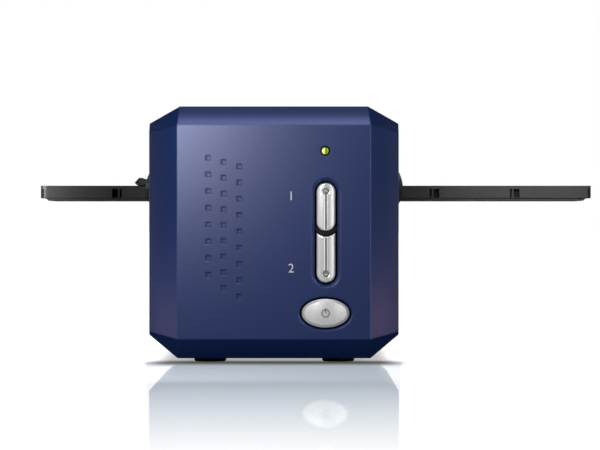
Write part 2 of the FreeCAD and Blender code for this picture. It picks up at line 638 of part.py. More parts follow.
def scan_buttons():
    span = ("front_y - button_proud", "ear_back")
    top_dot = "(upper_high - dot_inset)"
    upper = capsule("upper_cap", "well_x", "upper_low", "upper_high", "button_wide", *span)
    scan_button("scan_button_upper", upper, "((upper_low + upper_high) / 2)",
                "((upper_low + upper_high) / 2)",
                top_dot, ("upper_low + button_gap", top_dot))
    low_dot = "(lower_low + dot_inset)"
    arc = "(button_wide / 2 + button_gap * 2 + divider_thick)"
    whole = capsule("lower_whole", "well_x", "lower_low", "(upper_arc_z + button_wide / 2)", "button_wide",
                    *span)
    scoop = rod("lower_scoop", ("well_x", "front_y - overrun", "upper_arc_z"), arc,
                "ear_back - front_y + overrun * 2", "Y")
    keep = block("lower_keep", ("well_x - button_wide", "well_x + button_wide"),
                 ("front_y - overrun", "ear_back + overrun"), ("lower_low - overrun", "upper_arc_z"))
    lower = common("lower_cap", cut("lower_scooped", whole, scoop), keep)
    middle = f"((lower_low + upper_arc_z - {arc}) / 2)"
    scan_button("scan_button_lower", lower, middle, middle, low_dot,
                (low_dot, f"upper_arc_z - {arc} - button_gap"))


def power_button():
    face = "(front_y - button_proud)"
    skirt = oval("power_skirt", "power_x", "power_z", "power_wide", "power_tall", "front_y", "ear_back")
    crown = oval_bevel("power_crown", "power_x", "power_z", "(power_wide - 2 * power_bevel)",
                       "(power_tall - 2 * power_bevel)", "power_bevel", face, "front_y")
    tabs = ears("power_ears", "power_x", "power_z - power_ear_tall / 2", "power_z + power_ear_tall / 2",
                "(power_wide + button_gap * 2)")
    emblem = tube("power_ring", ("power_x", f"{face} - groove_deep", "power_z"), "power_ring_radius",
                  "power_ring_radius - power_ring_thick", "groove_deep * 2", "Y")
    top = block("power_bar", ("power_x - power_ring_thick / 2", "power_x + power_ring_thick / 2"),
                (f"{face} - groove_deep", f"{face} + groove_deep"),
                ("power_z", "power_z + power_ring_radius + power_ring_thick"))
    node("power_button", fuse("power_whole", skirt, crown, tabs, emblem, top,
                              stem("power_stem", "power_x", "power_z")))


def press_places():
    """The points where a button presses its switch."""
    arc = "(button_wide / 2 + button_gap * 2 + divider_thick)"
    return [("well_x", "((upper_low + upper_high) / 2)"),
            ("well_x", f"((lower_low + upper_arc_z - {arc}) / 2)"), ("power_x", "power_z")]


def button_plate():
    base = block("plate_base", ("plate_left", "plate_right"), ("plate_y", "plate_back"),
                 ("plate_low", "plate_high"))
    solid, holes = [base], []
    for index, (x, z) in enumerate(corner_places()):
        solid.append(rod(f"spacer_{index}", (x, "plate_back", z), "post_radius", "spacer_long", "Y"))
        holes.append(rod(f"spacer_hole_{index}", (x, "plate_y - overrun", z), "screw_radius + screw_gap",
                         "board_y - plate_y + overrun * 2", "Y"))
    for index, (x, z) in enumerate(press_places()):
        holes.append(rod(f"stem_hole_{index}", (x, "plate_y - overrun", z), "stem_radius + stem_gap",
                         "plate_thick + overrun * 2", "Y"))
    holes.append(rod("pipe_hole", ("light_x", "plate_y - overrun", "light_z"), "light_radius + stem_gap",
                     "plate_thick + overrun * 2", "Y"))
    inside = "button_wide / 2 + button_gap"
    web_ring = tube("web_ring", ("well_x", "front_y + divider_inset", "upper_arc_z"),
                    f"{inside} + divider_thick",
                    inside, "plate_y - front_y - divider_inset", "Y")
    web_room = block("web_room",
                     ("well_x - well_wide / 2 + divider_gap", "well_x + well_wide / 2 - divider_gap"),
                     ("front_y", "plate_back"),
                     ("upper_arc_z - button_wide", "upper_arc_z - button_wide / 4"))
    drilled = cut("plate_drilled", fuse("plate_solid", *solid), group("plate_holes", *holes))
    node("button_plate", fuse("plate_whole", drilled, common("divider_web", web_ring, web_room)))


def button_board():
    base = block("board_base", ("plate_left", "plate_right"), ("board_y", "board_back"),
                 ("plate_low", "plate_high"))
    holes, screws = [], []
    for index, (x, z) in enumerate(corner_places()):
        holes.append(rod(f"board_hole_{index}", (x, "board_y - overrun", z), "screw_radius + screw_gap",
                         "board_thick + overrun * 2", "Y"))
        screws.append(screw(f"button_screw_{index}", (x, "board_back", z), "Y"))
    node("button_board", cut("board_drilled", base, group("board_holes", *holes)))
    node("button_board_screws", group("button_screws", *screws))
    switches = []
    for index, (x, z) in enumerate(press_places()):
        case = block(f"switch_case_{index}", (f"{x} - switch_wide / 2", f"{x} + switch_wide / 2"),
                     ("board_y - switch_tall", "board_y"),
                     (f"{z} - switch_wide / 2", f"{z} + switch_wide / 2"))
        plunger = rod(f"plunger_{index}", (x, "plunger_y", z), "plunger_radius",
                      "plunger_long + switch_tall / 2", "Y")
        switches.append(fuse(f"switch_{index}", case, plunger))
    node("tact_switches", group("switches", *switches))


def status_light():
    """Clear light pipe: a foot on the board, a shaft and a domed nose."""
    reach = "(board_y - front_y + light_proud)"
    points = [("0", "0"), ("light_foot_radius", "0"), ("light_foot_radius", "light_foot_thick"),
              ("light_radius", "light_foot_thick"), ("light_radius", f"{reach} - light_radius / 2"),
              ("light_radius * nose_side_share", f"{reach} - light_radius / 4"),
              ("light_radius * nose_top_share", f"{reach} - light_radius / 16"), ("0", reach)]
    node("status_light", turned("light_pipe", ("light_x", "board_y", "light_z"), points, "-Y"))


# Rest of the casing
def shell_half(name, low, high):
    """Part of the hollow casing between two heights, from the front panel to the rear panel."""
    form = casing_form(name + "_outer", "panel_y", "housing_rear")
    outer = rounded(name + "_smooth", form, "edge_round", lambda edge: runs_along(edge, "y"))
    inner = casing_form(name + "_inner", "panel_y - overrun", "housing_rear + overrun", "wall")
    keep = block(name + "_keep", ("-body_half_wide - overrun", "body_half_wide + overrun"),
                 ("panel_y", "housing_rear"), (low, high))
    return common(name + "_half", cut(name + "_shell", outer, inner), keep)


def rear_bosses(name, z):
    bosses, holes = [], []
    for index, x in enumerate(mirrored("rear_boss_x")):
        bosses.append(rod(f"{name}_boss_{index}", (x, "housing_rear - rear_boss_long", z), "boss_radius",
                          "rear_boss_long", "Y"))
        holes.append(screw_hole(f"{name}_hole_{index}", (x, "housing_rear", z), "Y",
                                "screw_long + screw_spare"))
    return bosses, holes


def upper_housing():
    half = shell_half("upper", "split_z", "body_high + overrun")
    notch = block("slot_notch", ("-body_half_wide - overrun", "body_half_wide + overrun"),
                  ("slot_front_y - frame_rim", "slot_rear_y + frame_rim"),
                  ("split_z - overrun", "slot_high + frame_rim"))
    bosses, holes = rear_bosses("upper", "rear_boss_high")
    solid = fuse("upper_bossed", cut("upper_notched", half, notch), *bosses)
    node("upper_housing", cut("upper_drilled", solid, *holes))


def side_tongues():
    """Tabs on the lower housing that stand inside the upper one's walls."""
    tabs = []
    rear = "housing_rear - rear_boss_long - tongue_inset"
    for side in ("1", "-1"):
        for start in ("slot_rear_y + frame_rim + tongue_inset", f"{rear} - tongue_wide"):
            for word, far, z in (("root", "inner_half_wide + wall / 2",
                                  ("split_z - tongue_deep", "split_z")),
                                 ("tab", "inner_half_wide - tongue_gap",
                                  ("split_z - tongue_deep / 2", "split_z + tongue_deep"))):
                across = on_side(side, "inner_half_wide - tongue_gap - tongue_thick", far)
                tabs.append(block(f"side_{word}_{len(tabs)}", across, (start, f"{start} + tongue_wide"), z))
    return tabs


def deck_posts():
    """Places of the screws that hold the chassis."""
    return [(x, y) for x in mirrored("post_x")
            for y in ("(bulkhead_front + boss_inset)", "(deck_rear_y - boss_inset)")]


def board_posts():
    """Places of the screws that hold the main board."""
    return [(x, y) for x in mirrored("(main_half_wide - board_boss_inset)")
            for y in ("(main_front_y + board_boss_inset)", "(main_rear_y - board_boss_inset)")]


def foot_places():
    return [(word, x, y) for x, side in (("-foot_x", "left"), ("foot_x", "right"))
            for y, word in (("(panel_y + foot_front_inset)", "front_" + side),
                            ("(rear_y - foot_rear_inset)", "rear_" + side))]


def lower_housing():
    half = shell_half("lower", "body_low - overrun", "split_z")
    bosses, holes = rear_bosses("lower", "rear_boss_low")
    for index, (x, y) in enumerate(deck_posts()):
        bosses.append(rod(f"deck_post_{index}", (x, y, "floor_z - wall / 2"), "boss_radius",
                          "deck_low - floor_z + wall / 2"))
        holes.append(screw_hole(f"deck_post_hole_{index}", (x, y, "deck_low"), "Z", "screw_long"))
    for index, (x, y) in enumerate(board_posts()):
        bosses.append(rod(f"board_post_{index}", (x, y, "floor_z - wall / 2"), "board_boss_radius",
                          "main_low - floor_z + wall / 2"))
        holes.append(screw_hole(f"board_post_hole_{index}", (x, y, "main_low"), "Z", "screw_long"))
    for word, x, y in foot_places():
        holes.append(rod(f"foot_hole_{word}", (x, y, "body_low - overrun"), "foot_stem_radius + screw_gap",
                         "wall + overrun * 2"))
    node("lower_housing", cut("lower_drilled", fuse("lower_bossed", half, *bosses, *side_tongues()), *holes))


def feet():
    points = [("0", "0"), ("foot_radius - foot_round", "0"), ("foot_radius", "foot_round"),
              ("foot_radius", "body_low"), ("foot_stem_radius", "body_low"), ("foot_stem_radius", "floor_z"),
              ("0", "floor_z")]
    for word, x, y in foot_places():
        node("rubber_foot_" + word, turned("foot_" + word, (x, y, "0"), points))


def rear_panel():
    plate = casing_form("rear_plate", "housing_rear", "rear_y")
    usb = block("usb_window", ("usb_x - usb_wide / 2 - socket_gap", "usb_x + usb_wide / 2 + socket_gap"),
                ("housing_rear - overrun", "rear_y + overrun"),
                ("main_low + board_thick - socket_gap", "main_low + board_thick + usb_tall + socket_gap"))
    jack = block("jack_window",
                 ("jack_x - jack_wide / 2 - socket_gap", "jack_x + jack_wide / 2 + socket_gap"),
                 ("housing_rear - overrun", "rear_y + overrun"),
                 ("main_low + board_thick - socket_gap", "main_low + board_thick + jack_tall + socket_gap"))
    holes, screws = [], []
    for x in mirrored("rear_boss_x"):
        for z in ("rear_boss_low", "rear_boss_high"):
            seat = (x, "(rear_y - screw_head_thick)", z)
            holes.append(rod(f"rear_sink_{len(screws)}", seat, "screw_head_radius + stem_gap",
                             "screw_head_thick + overrun", "Y"))
            holes.append(screw_hole(f"rear_hole_{len(screws)}", seat, "Y", "wall"))
            screws.append(screw(f"rear_screw_{len(screws)}", seat, "Y"))
    back = size("rear_y") - size("screw_gap")
    smooth = rounded("rear_rounded", plate, "edge_round",
                     lambda edge: runs_along(edge, "y") or edge.CenterOfMass.y > back)
    node("rear_panel", cut("rear_pierced", smooth, usb, jack, *holes))
    node("rear_panel_screws", group("rear_screws", *screws))


# Film slots: a convex frame each side, with a sprung dust door
def slot_frame(name, side):
    """Frame with a neck through the wall and a convex pad outside it."""
    y = ("slot_front_y - frame_rim", "slot_rear_y + frame_rim")
    neck = block(name + "_neck", on_side(side, "body_half_wide - frame_neck", "body_half_wide"), y,
                 ("split_z", "slot_high + frame_rim"))
    bulge = rod(name + "_bulge",
                (f"{side} * (body_half_wide + pad_reach - pad_curve)", "slot_front_y - pad_end",
                 "pad_middle_z"), "pad_curve", "slot_rear_y - slot_front_y + pad_end * 2", "Y")
    half = "(sqrt(pad_curve * pad_curve - (pad_curve - pad_reach) * (pad_curve - pad_reach)))"
    ends = ("(slot_front_y - pad_end)", "(slot_rear_y + pad_end)")
    outside = on_side(side, "body_half_wide", "body_half_wide + pad_reach + overrun")
    middle = block(name + "_middle", outside,
                   (f"{ends[0]} + {half}", f"{ends[1]} - {half}"),
                   (f"pad_middle_z - {half}", f"pad_middle_z + {half}"))
    caps = [rod(f"{name}_cap_{index}", (outside[0], y_place, "pad_middle_z"), half, "pad_reach + overrun",
                "X")
            for index, y_place in enumerate((f"{ends[0]} + {half}", f"{ends[1]} - {half}"))]
    pad = common(name + "_pad", bulge, fuse(name + "_stadium", middle, *caps))
    opening = block(name + "_opening", on_side(side, "body_half_wide - frame_neck - overrun",
                                               "body_half_wide + pad_reach + overrun"),
                    ("slot_front_y", "slot_rear_y"), ("slot_low", "slot_high"))
    pivots = [rod(f"{name}_pivot", (f"{side} * door_axis_x", "slot_front_y - door_pin_long", "door_axis_z"),
                  "door_pin_radius + pivot_gap", "slot_rear_y - slot_front_y + door_pin_long * 2", "Y")]
    node(name, cut(name + "_cut", fuse(name + "_solid", neck, pad), opening, *pivots))


def dust_door(name, side):
    """Narrow flap on two pivots, held up by the holder that passes below it."""
    def point(reach_share, rise):
        return (f"{side} * door_axis_x - door_reach * {reach_share}", f"door_axis_z + {rise}")
    points = [point("0", "door_barrel"), point("door_neck_share", "door_thick * door_neck_rise_share"),
              point("door_crown_share", "door_thick"), point("door_lip_share", "door_thick"),
              point("1", "-door_grip_drop * door_toe_drop_share"),
              point("door_toe_share", "-door_grip_drop"),
              point("door_heel_share", "-door_grip_drop"),
              point("door_root_share", "-door_grip_drop * door_root_drop_share"), point("0", "-door_barrel")]
    span = ("(slot_front_y + door_end_gap)", "(slot_rear_y - door_end_gap)")
    flap = prism(name + "_flap", "XZ", span, points)
    barrel = rod(name + "_barrel", (f"{side} * door_axis_x", span[0], "door_axis_z"), "door_barrel",
                 f"{span[1]} - {span[0]}", "Y")
    pin = rod(name + "_pin",
              (f"{side} * door_axis_x", "slot_front_y - door_pin_long + pivot_gap", "door_axis_z"),
              "door_pin_radius", "slot_rear_y - slot_front_y + (door_pin_long - pivot_gap) * 2", "Y")
    node(name, fuse(name + "_whole", flap, barrel, pin))


# Film holder: a base with six frames, its cover and the cover's pivots
def frame_windows(name, low, high):
    windows = []
    for index in range(int(size("window_count"))):
        middle = f"(holder_x + frame_pitch * ({index} - (window_count - 1) / 2))"
        windows.append(block(f"{name}_{index}",
                             (f"{middle} - window_wide / 2", f"{middle} + window_wide / 2"),
                             ("holder_y - window_tall / 2", "holder_y + window_tall / 2"), (low, high)))
    return group(name, *windows)


def edge_notches():
    """A notch and a small eye for every frame, mirrored about the holder's middle, on both long edges."""
    cells = []
    low, high = "(holder_low + notch_rise)", "(holder_low + notch_rise + notch_tall)"
    for index in range(int(size("window_count"))):
        outward = 1 if index >= size("window_count") / 2 else -1
        middle = f"(holder_x + frame_pitch * ({index} - (window_count - 1) / 2))"
        eye = f"({middle} - {outward} * eye_step)"
        for place_x, wide, deep, word in ((middle, "notch_wide", "notch_deep", "notch"),
                                          (eye, "eye_wide", "eye_deep", "eye")):
            x = (f"{place_x} - {wide} / 2", f"{place_x} + {wide} / 2")
            cells.append(block(f"front_{word}_{index}", x,
                               ("holder_front - overrun", f"holder_front + {deep}"),
                               (low, high)))
            cells.append(block(f"rear_{word}_{index}", x, (f"holder_rear - {deep}", "holder_rear + overrun"),
                               (low, high)))
    return group("edge_notches", *cells)


def cover_axis():
    return "(holder_rear - cover_rim - hinge_inset)", "(holder_high - cover_thick / 2)"


def film_holder():
    half = "holder_half_long"
    body = block("holder_block", (f"holder_x - {half}", f"holder_x + {half}"),
                 ("holder_front", "holder_rear"),
                 ("holder_low + lip_thick", "holder_high"))
    smooth = rounded("holder_rounded", body, "holder_corner",
                     lambda edge: runs_along(edge, "z"))
    lip_half = f"({half} - lip_inset)"
    lip = prism("holder_lip", "XZ", ("holder_front + ledge_deep", "holder_rear - ledge_deep"),
                [(f"holder_x - {lip_half} + lip_slope", "holder_low"),
                 (f"holder_x + {lip_half} - lip_slope", "holder_low"),
                 (f"holder_x + {lip_half}", "holder_low + lip_thick"),
                 (f"holder_x - {lip_half}", "holder_low + lip_thick")])
    seat = "(holder_high - cover_thick)"
    recess = block("cover_recess", (f"holder_x - {half} + cover_rim", f"holder_x + {half} - cover_rim"),
                   ("holder_front + cover_rim", "holder_rear - cover_rim"), (seat, "holder_high + overrun"))
    channel = block("film_channel", ("holder_x - film_long / 2", "holder_x + film_long / 2"),
                    ("holder_y - film_wide / 2", "holder_y + film_wide / 2"),
                    (f"{seat} - film_gap", f"{seat} + cover_thick / 2"))
    y, z = cover_axis()
    pins, pivots = [], []
    for index, sign in enumerate(("1", "-1")):
        edge = f"(holder_x + {sign} * ({half} - cover_rim))"
        start = f"{edge} - hinge_pin_long + hinge_pin_bite" if sign == "1" else f"{edge} - hinge_pin_bite"
        pins.append(rod(f"hinge_pin_{index}", (start, y, z), "hinge_pin_radius", "hinge_pin_long", "X"))
        pivots.append(rod(f"hinge_hole_{index}", (f"{start} - pivot_gap", y, z),
                          "hinge_pin_radius + pivot_gap", "hinge_pin_long + pivot_gap * 2", "X"))
    solid = fuse("holder_solid", smooth, lip)
    base = cut("holder_recessed", solid, recess, channel, *pivots)
    windows = frame_windows("base_windows", "holder_low - overrun", "holder_high + overrun")
    node("film_holder_base", cut("holder_notched", cut("holder_open", base, windows), edge_notches()))
    cover = block("cover_block", (f"holder_x - {half} + cover_rim + cover_gap",
                                  f"holder_x + {half} - cover_rim - cover_gap"),
                  ("holder_front + cover_rim + cover_gap", "holder_rear - cover_rim - cover_gap"),
                  (seat, "holder_high"))
    cover_open = cut("cover_open", cover,
                     frame_windows("cover_windows", "holder_low", "holder_high + overrun"))
    node("film_holder_cover",
         cut("cover_drilled", cover_open, *[document.copyObject(pivot) for pivot in pivots]))
    node("holder_hinge_pins", group("hinge_pins", *pins))


# Film stage: the carriage that holds the holder and moves it past the scan line
def stage_bearings():
    """Low and high places along Y of the bearings at both ends of the stage."""
    return [("stage_front", "stage_front + bearing_long"), ("stage_rear - bearing_long", "stage_rear")]


def film_stage():
    inner_front, inner_rear = "(holder_front - stage_gap)", "(holder_rear + stage_gap)"
    floor_top = "(stage_floor_low + stage_floor_thick)"
    ledge_top = "(holder_low - stage_gap)"
    lip_low = "(holder_high + stage_gap)"
    lip_high = f"({lip_low} + stage_lip_thick)"
    points = [("stage_front", "stage_floor_low"), ("stage_rear", "stage_floor_low"),
              ("stage_rear", lip_high),
              (f"{inner_rear} - stage_lip", lip_high), (f"{inner_rear} - stage_lip", lip_low),
              (inner_rear, lip_low), (inner_rear, ledge_top), (f"{inner_rear} - stage_ledge", ledge_top),
              (f"{inner_rear} - stage_ledge", floor_top), (f"{inner_front} + stage_ledge", floor_top),
              (f"{inner_front} + stage_ledge", ledge_top), (inner_front, ledge_top), (inner_front, lip_low),
              (f"{inner_front} + stage_lip", lip_low), (f"{inner_front} + stage_lip", lip_high),
              ("stage_front", lip_high)]
    channel = prism("stage_channel", "YZ", ("-stage_half_wide", "stage_half_wide"), points)
    blocks, holes, bushes = [], [], []
    for x in mirrored("rod_x"):
        for low, high in stage_bearings():
            index = len(blocks)
            blocks.append(block(f"bearing_{index}", (f"{x} - bearing_half_wide", f"{x} + bearing_half_wide"),
                                (low, high), ("bearing_low", "stage_floor_low")))
            holes.append(rod(f"bush_hole_{index}", (x, low, "rod_z"), "rod_radius + bush_thick",
                             "bearing_long", "Y"))
            bushes.append(tube(f"bush_{index}", (x, low, "rod_z"), "rod_radius + bush_thick",
                               "rod_radius + rod_gap", "bearing_long", "Y"))
    gate = block("gate", ("axis_x - gate_half_wide", "axis_x + gate_half_wide"),
                 ("holder_y - gate_half_tall", "holder_y + gate_half_tall"),
                 ("stage_floor_low - overrun", f"{floor_top} + overrun"))
    room = block("spring_pocket",
                 ("axis_x - spring_long / 2 - stage_gap", "axis_x + spring_long / 2 + stage_gap"),
                 (f"{inner_front} - spring_room", f"{inner_front} + overrun"),
                 ("spring_low - stage_gap", "spring_low + spring_tall + stage_gap"))
    solid = fuse("stage_solid", channel, *blocks)
    node("film_stage", cut("stage_cut", solid, gate, room, *holes))
    node("stage_bushes", group("bushes", *bushes))
    back = f"({inner_front} - spring_room)"
    crest = f"({back} + spring_bow)"
    half, ramp, nose = "(spring_long / 2)", "spring_ramp", "spring_nose"
    lower = [(f"axis_x - {half}", back), (f"axis_x - {ramp}", back), (f"axis_x - {nose}", crest),
             (f"axis_x + {nose}", crest), (f"axis_x + {ramp}", back), (f"axis_x + {half}", back)]
    upper = [(x, f"{y} + spring_thick") for x, y in reversed(lower)]
    node("detent_spring",
         prism("detent_leaf", "XY", ("spring_low", "spring_low + spring_tall"), lower + upper))


def guide_rods():
    length = "bulkhead_rear + bulkhead_thick - bulkhead_front"
    node("guide_rods",
         group("rods", *[rod(f"guide_rod_{index}", (x, "bulkhead_front", "rod_z"), "rod_radius",
                             length, "Y") for index, x in enumerate(mirrored("rod_x"))]))


# Drive: a rack under the stage, the drive gear and the motor's pinion

def mesh_angle():
    """Direction from the drive gear to the pinion, in degrees above +Y, along one of the gear's teeth."""
    step = 360 / size("gear_teeth_count")
    return 90 + step / 2 - step * size("mesh_step_count")


def spur_gear(name, teeth, tooth_angle, bore, start):
    """Gear with involute flanks, from its own tooth count and the shared module."""
    module = size("gear_module")
    pitch = module * teeth / 2
    base = pitch * math.cos(math.radians(size("pressure_angle")))
    root = pitch - module * size("dedendum_share")
    tip = pitch + module * size("addendum_share")

    def half_angle(radius):
        def roll(at):
            lean = math.acos(min(1, base / at))
            return math.tan(lean) - lean
        slack = size("backlash") / (2 * pitch)
        return math.pi / (2 * teeth) - slack + roll(pitch) - roll(max(radius, base))
    flank_start = max(root, base)
    steps = int(size("flank_step_count"))
    radii = [root] + [flank_start + (tip - flank_start) * step / steps for step in range(steps + 1)]
    points = []
    for tooth in range(teeth):
        middle = math.radians(tooth_angle) + 2 * math.pi * tooth / teeth
        sides = [(radius, middle - half_angle(radius)) for radius in radii]
        sides += [(radius, middle + half_angle(radius)) for radius in reversed(radii)]
        points += [FreeCAD.Vector(r * math.cos(a), r * math.sin(a), 0) for r, a in sides]
    face = Part.Face(Part.makePolygon(points + points[:1]))
    blank = face.extrude(FreeCAD.Vector(0, 0, size("gear_wide")))
    thing = document.addObject("Part::Feature", name)
    thing.Shape = blank.cut(Part.makeCylinder(bore, size("gear_wide")))
    return place(thing, *start, "X")


def pinion_place():
    """Expressions for the motor axis, a mesh distance from the drive gear."""
    reach = "(gear_module * (gear_teeth_count + pinion_teeth_count) / 2)"
    angle = mesh_angle()
    across, up = math.cos(math.radians(angle)), math.sin(math.radians(angle))
    return f"(gear_y + {reach} * {across:.9f})", f"(gear_z + {reach} * ({up:.9f}))"


def drive():
    bar = ("rack_pitch_z + gear_module * dedendum_share", "stage_floor_low")
    pitch = "(gear_module * pi)"
    first = f"(gear_y - {pitch} * rack_teeth_ahead_count)"
    middle = "(gear_x + gear_wide / 2)"
    rack = document.addObject("PartDesign::Body", "rack_body")
    low, high = f"({first} - {pitch} / 2)", f"({first} + {pitch} * (rack_teeth_count - 0.5))"
    bar_sketch = plane_sketch(rack, "rack_bar_profile", "YZ", f"{middle} - rack_wide / 2",
                              [(low, bar[0]), (high, bar[0]), (high, bar[1]), (low, bar[1])])
    bar_pad = rack.newObject("PartDesign::Pad", "rack_bar")
    bar_pad.Profile = bar_sketch
    bind(bar_pad, "Length", "rack_wide")
    root_half = f"({pitch} / 4 - backlash / 2 + gear_module * dedendum_share * tan(pressure_angle))"
    tip_half = f"({pitch} / 4 - backlash / 2 - gear_module * addendum_share * tan(pressure_angle))"
    tip_z = "rack_pitch_z - gear_module * addendum_share"
    tooth_sketch = plane_sketch(rack, "rack_tooth_profile", "YZ", f"{middle} - rack_wide / 2",
                                [(f"{first} - {tip_half}", tip_z), (f"{first} + {tip_half}", tip_z),
                                 (f"{first} + {root_half}", bar[0]), (f"{first} - {root_half}", bar[0])])
    tooth = rack.newObject("PartDesign::Pad", "rack_tooth")
    tooth.Profile = tooth_sketch
    bind(tooth, "Length", "rack_wide")
    document.recompute()
    row = rack.newObject("PartDesign::LinearPattern", "rack_row")
    row.Originals = [tooth]
    row.Direction = (tooth_sketch, ["H_Axis"])
    row.Occurrences = int(size("rack_teeth_count"))
    bind(row, "Length", f"{pitch} * (rack_teeth_count - 1)")
    rack.Tip = row
    node("stage_rack", rack)
    gear_teeth, pinion_teeth = int(size("gear_teeth_count")), int(size("pinion_teeth_count"))
    gear_turn = 180 + 180 / gear_teeth
    node("drive_gear", spur_gear("gear_blank", gear_teeth, gear_turn, size("axle_radius") + size("rod_gap"),
                                 ("gear_x", "gear_y", "gear_z")))
    pinion_turn = mesh_angle() + 180 + 90 + 180 / pinion_teeth
    motor_y, motor_z = pinion_place()
    node("motor_pinion",
         spur_gear("pinion_blank", pinion_teeth, pinion_turn, size("shaft_radius") + size("rod_gap"),
                   ("gear_x", motor_y, motor_z)))
    face = "bracket_x"
    span = ("gear_y - bracket_ahead", "gear_y + bracket_behind")
    plate = block("bracket_plate", (face, "bracket_x + bracket_thick"), span,
                  ("deck_top", "gear_z + bracket_rise"))
    foot = block("bracket_sole", (face, "bracket_x + bracket_thick + bracket_foot"), span,
                 ("deck_top", "deck_top + bracket_thick"))
    holes = [rod("axle_hole", (face, "gear_y", "gear_z"), "axle_radius + screw_gap", "bracket_thick", "X"),
             rod("shaft_hole", (face, motor_y, motor_z), "motor_boss_radius + screw_gap",
                 "bracket_thick", "X")]
    node("motor_bracket", cut("bracket_cut", fuse("bracket_solid", plate, foot), *holes))
    axle = rod("axle_pin", ("gear_x - side_gap", "gear_y", "gear_z"), "axle_radius",
               f"{face} + bracket_thick - gear_x + side_gap", "X")
    head = rod("axle_head", ("gear_x - side_gap - axle_head_thick", "gear_y", "gear_z"), "axle_head_radius",
               "axle_head_thick", "X")
    node("gear_axle", fuse("axle", axle, head))
    can = rod("motor_can", (f"{face} + bracket_thick", motor_y, motor_z), "motor_radius", "motor_long", "X")
    boss = rod("motor_boss", (face, motor_y, motor_z), "motor_boss_radius",
               "bracket_thick + motor_long / 2", "X")
    shaft = rod("motor_shaft", ("gear_x", motor_y, motor_z), "shaft_radius",
                "gear_wide + motor_long / 2", "X")
    node("stepper_motor", fuse("motor", can, boss, shaft))


# Chassis and optics
def chassis():
    deck = block("deck", ("-deck_half_wide", "deck_half_wide"), ("bulkhead_front", "deck_rear_y"),
                 ("deck_low", "deck_top"))
    walls = [block("front_wall", ("-deck_half_wide", "deck_half_wide"),
                   ("bulkhead_front", "bulkhead_front + bulkhead_thick"), ("deck_low", "lamp_high")),
             block("rear_wall", ("-deck_half_wide", "deck_half_wide"),
                   ("bulkhead_rear", "bulkhead_rear + bulkhead_thick"), ("deck_low", "lamp_high")),
             block("upright", ("-upright_half_wide", "upright_half_wide"),
                   ("deck_rear_y - bulkhead_thick", "deck_rear_y"), ("deck_low", "optic_z + upright_rise"))]
    middle = "(lens_front_y + lens_long / 2)"
    saddle = block("saddle", ("axis_x - saddle_half_wide", "axis_x + saddle_half_wide"),
                   (f"{middle} - saddle_long / 2", f"{middle} + saddle_long / 2"), ("deck_low", "optic_z"))
    holes = [rod("cradle_bore", ("axis_x", f"{middle} - saddle_long", "optic_z"), "lens_radius + lens_gap",
                 "saddle_long * 2", "Y"),
             rod("light_way", ("axis_x", "bulkhead_rear - overrun", "optic_z"), "light_way_radius",
                 "bulkhead_thick + overrun * 2", "Y")]
    for index, x in enumerate(mirrored("rod_x")):
        holes.append(rod(f"rod_hole_{index}", (x, "bulkhead_front - overrun", "rod_z"),
                         "rod_radius + screw_gap",
                         "bulkhead_rear + bulkhead_thick - bulkhead_front + overrun * 2", "Y"))
    screws = []
    for index, (x, y) in enumerate(deck_posts()):
        holes.append(screw_hole(f"deck_hole_{index}", (x, y, "deck_top + overrun"), "Z",
                                "deck_thick + overrun * 2"))
        screws.append(screw(f"deck_screw_{index}", (x, y, "deck_top"), "Z"))
    node("chassis", cut("chassis_cut", fuse("chassis_solid", deck, saddle, *walls), *holes))
    node("chassis_screws", group("deck_screws", *screws))


def mirror():
    slab = document.addObject("Part::Box", "mirror_slab")
    bind(slab, "Length", "mirror_half_wide * 2")
    bind(slab, "Width", "mirror_long")
    bind(slab, "Height", "mirror_thick")
    slab.Placement = FreeCAD.Placement(FreeCAD.Vector(), FreeCAD.Rotation(FreeCAD.Vector(1, 0, 0), -45))
    bind(slab, "Placement.Base.x", "axis_x - mirror_half_wide")
    bind(slab, "Placement.Base.y", "scan_y - (mirror_long / 2 + mirror_thick) * sqrt(0.5)")
    bind(slab, "Placement.Base.z", "optic_z + (mirror_long / 2 - mirror_thick) * sqrt(0.5)")
    node("fold_mirror", slab)
    slope = "(scan_y + optic_z - mirror_thick * sqrt(2))"
    back, front, top = "(scan_y - cradle_back)", "(scan_y + cradle_front)", "(optic_z + mirror_long / 3)"
    points = [(back, "deck_top"), (back, top), (f"{slope} - {top}", top), (front, f"{slope} - {front}"),
              (front, "deck_top")]
    wedge = prism("mirror_wedge", "YZ", ("axis_x - mirror_half_wide - cradle_cheek",
                                         "axis_x + mirror_half_wide + cradle_cheek"), points)
    hollow = block("mirror_hollow",
                   ("axis_x - mirror_half_wide + cradle_cheek", "axis_x + mirror_half_wide - cradle_cheek"),
                   (f"{back} - overrun", "scan_y - mirror_thick - cradle_cheek * 2"),
                   ("deck_top + cradle_cheek", "optic_z"))
    node("mirror_cradle", cut("cradle_cut", wedge, hollow))


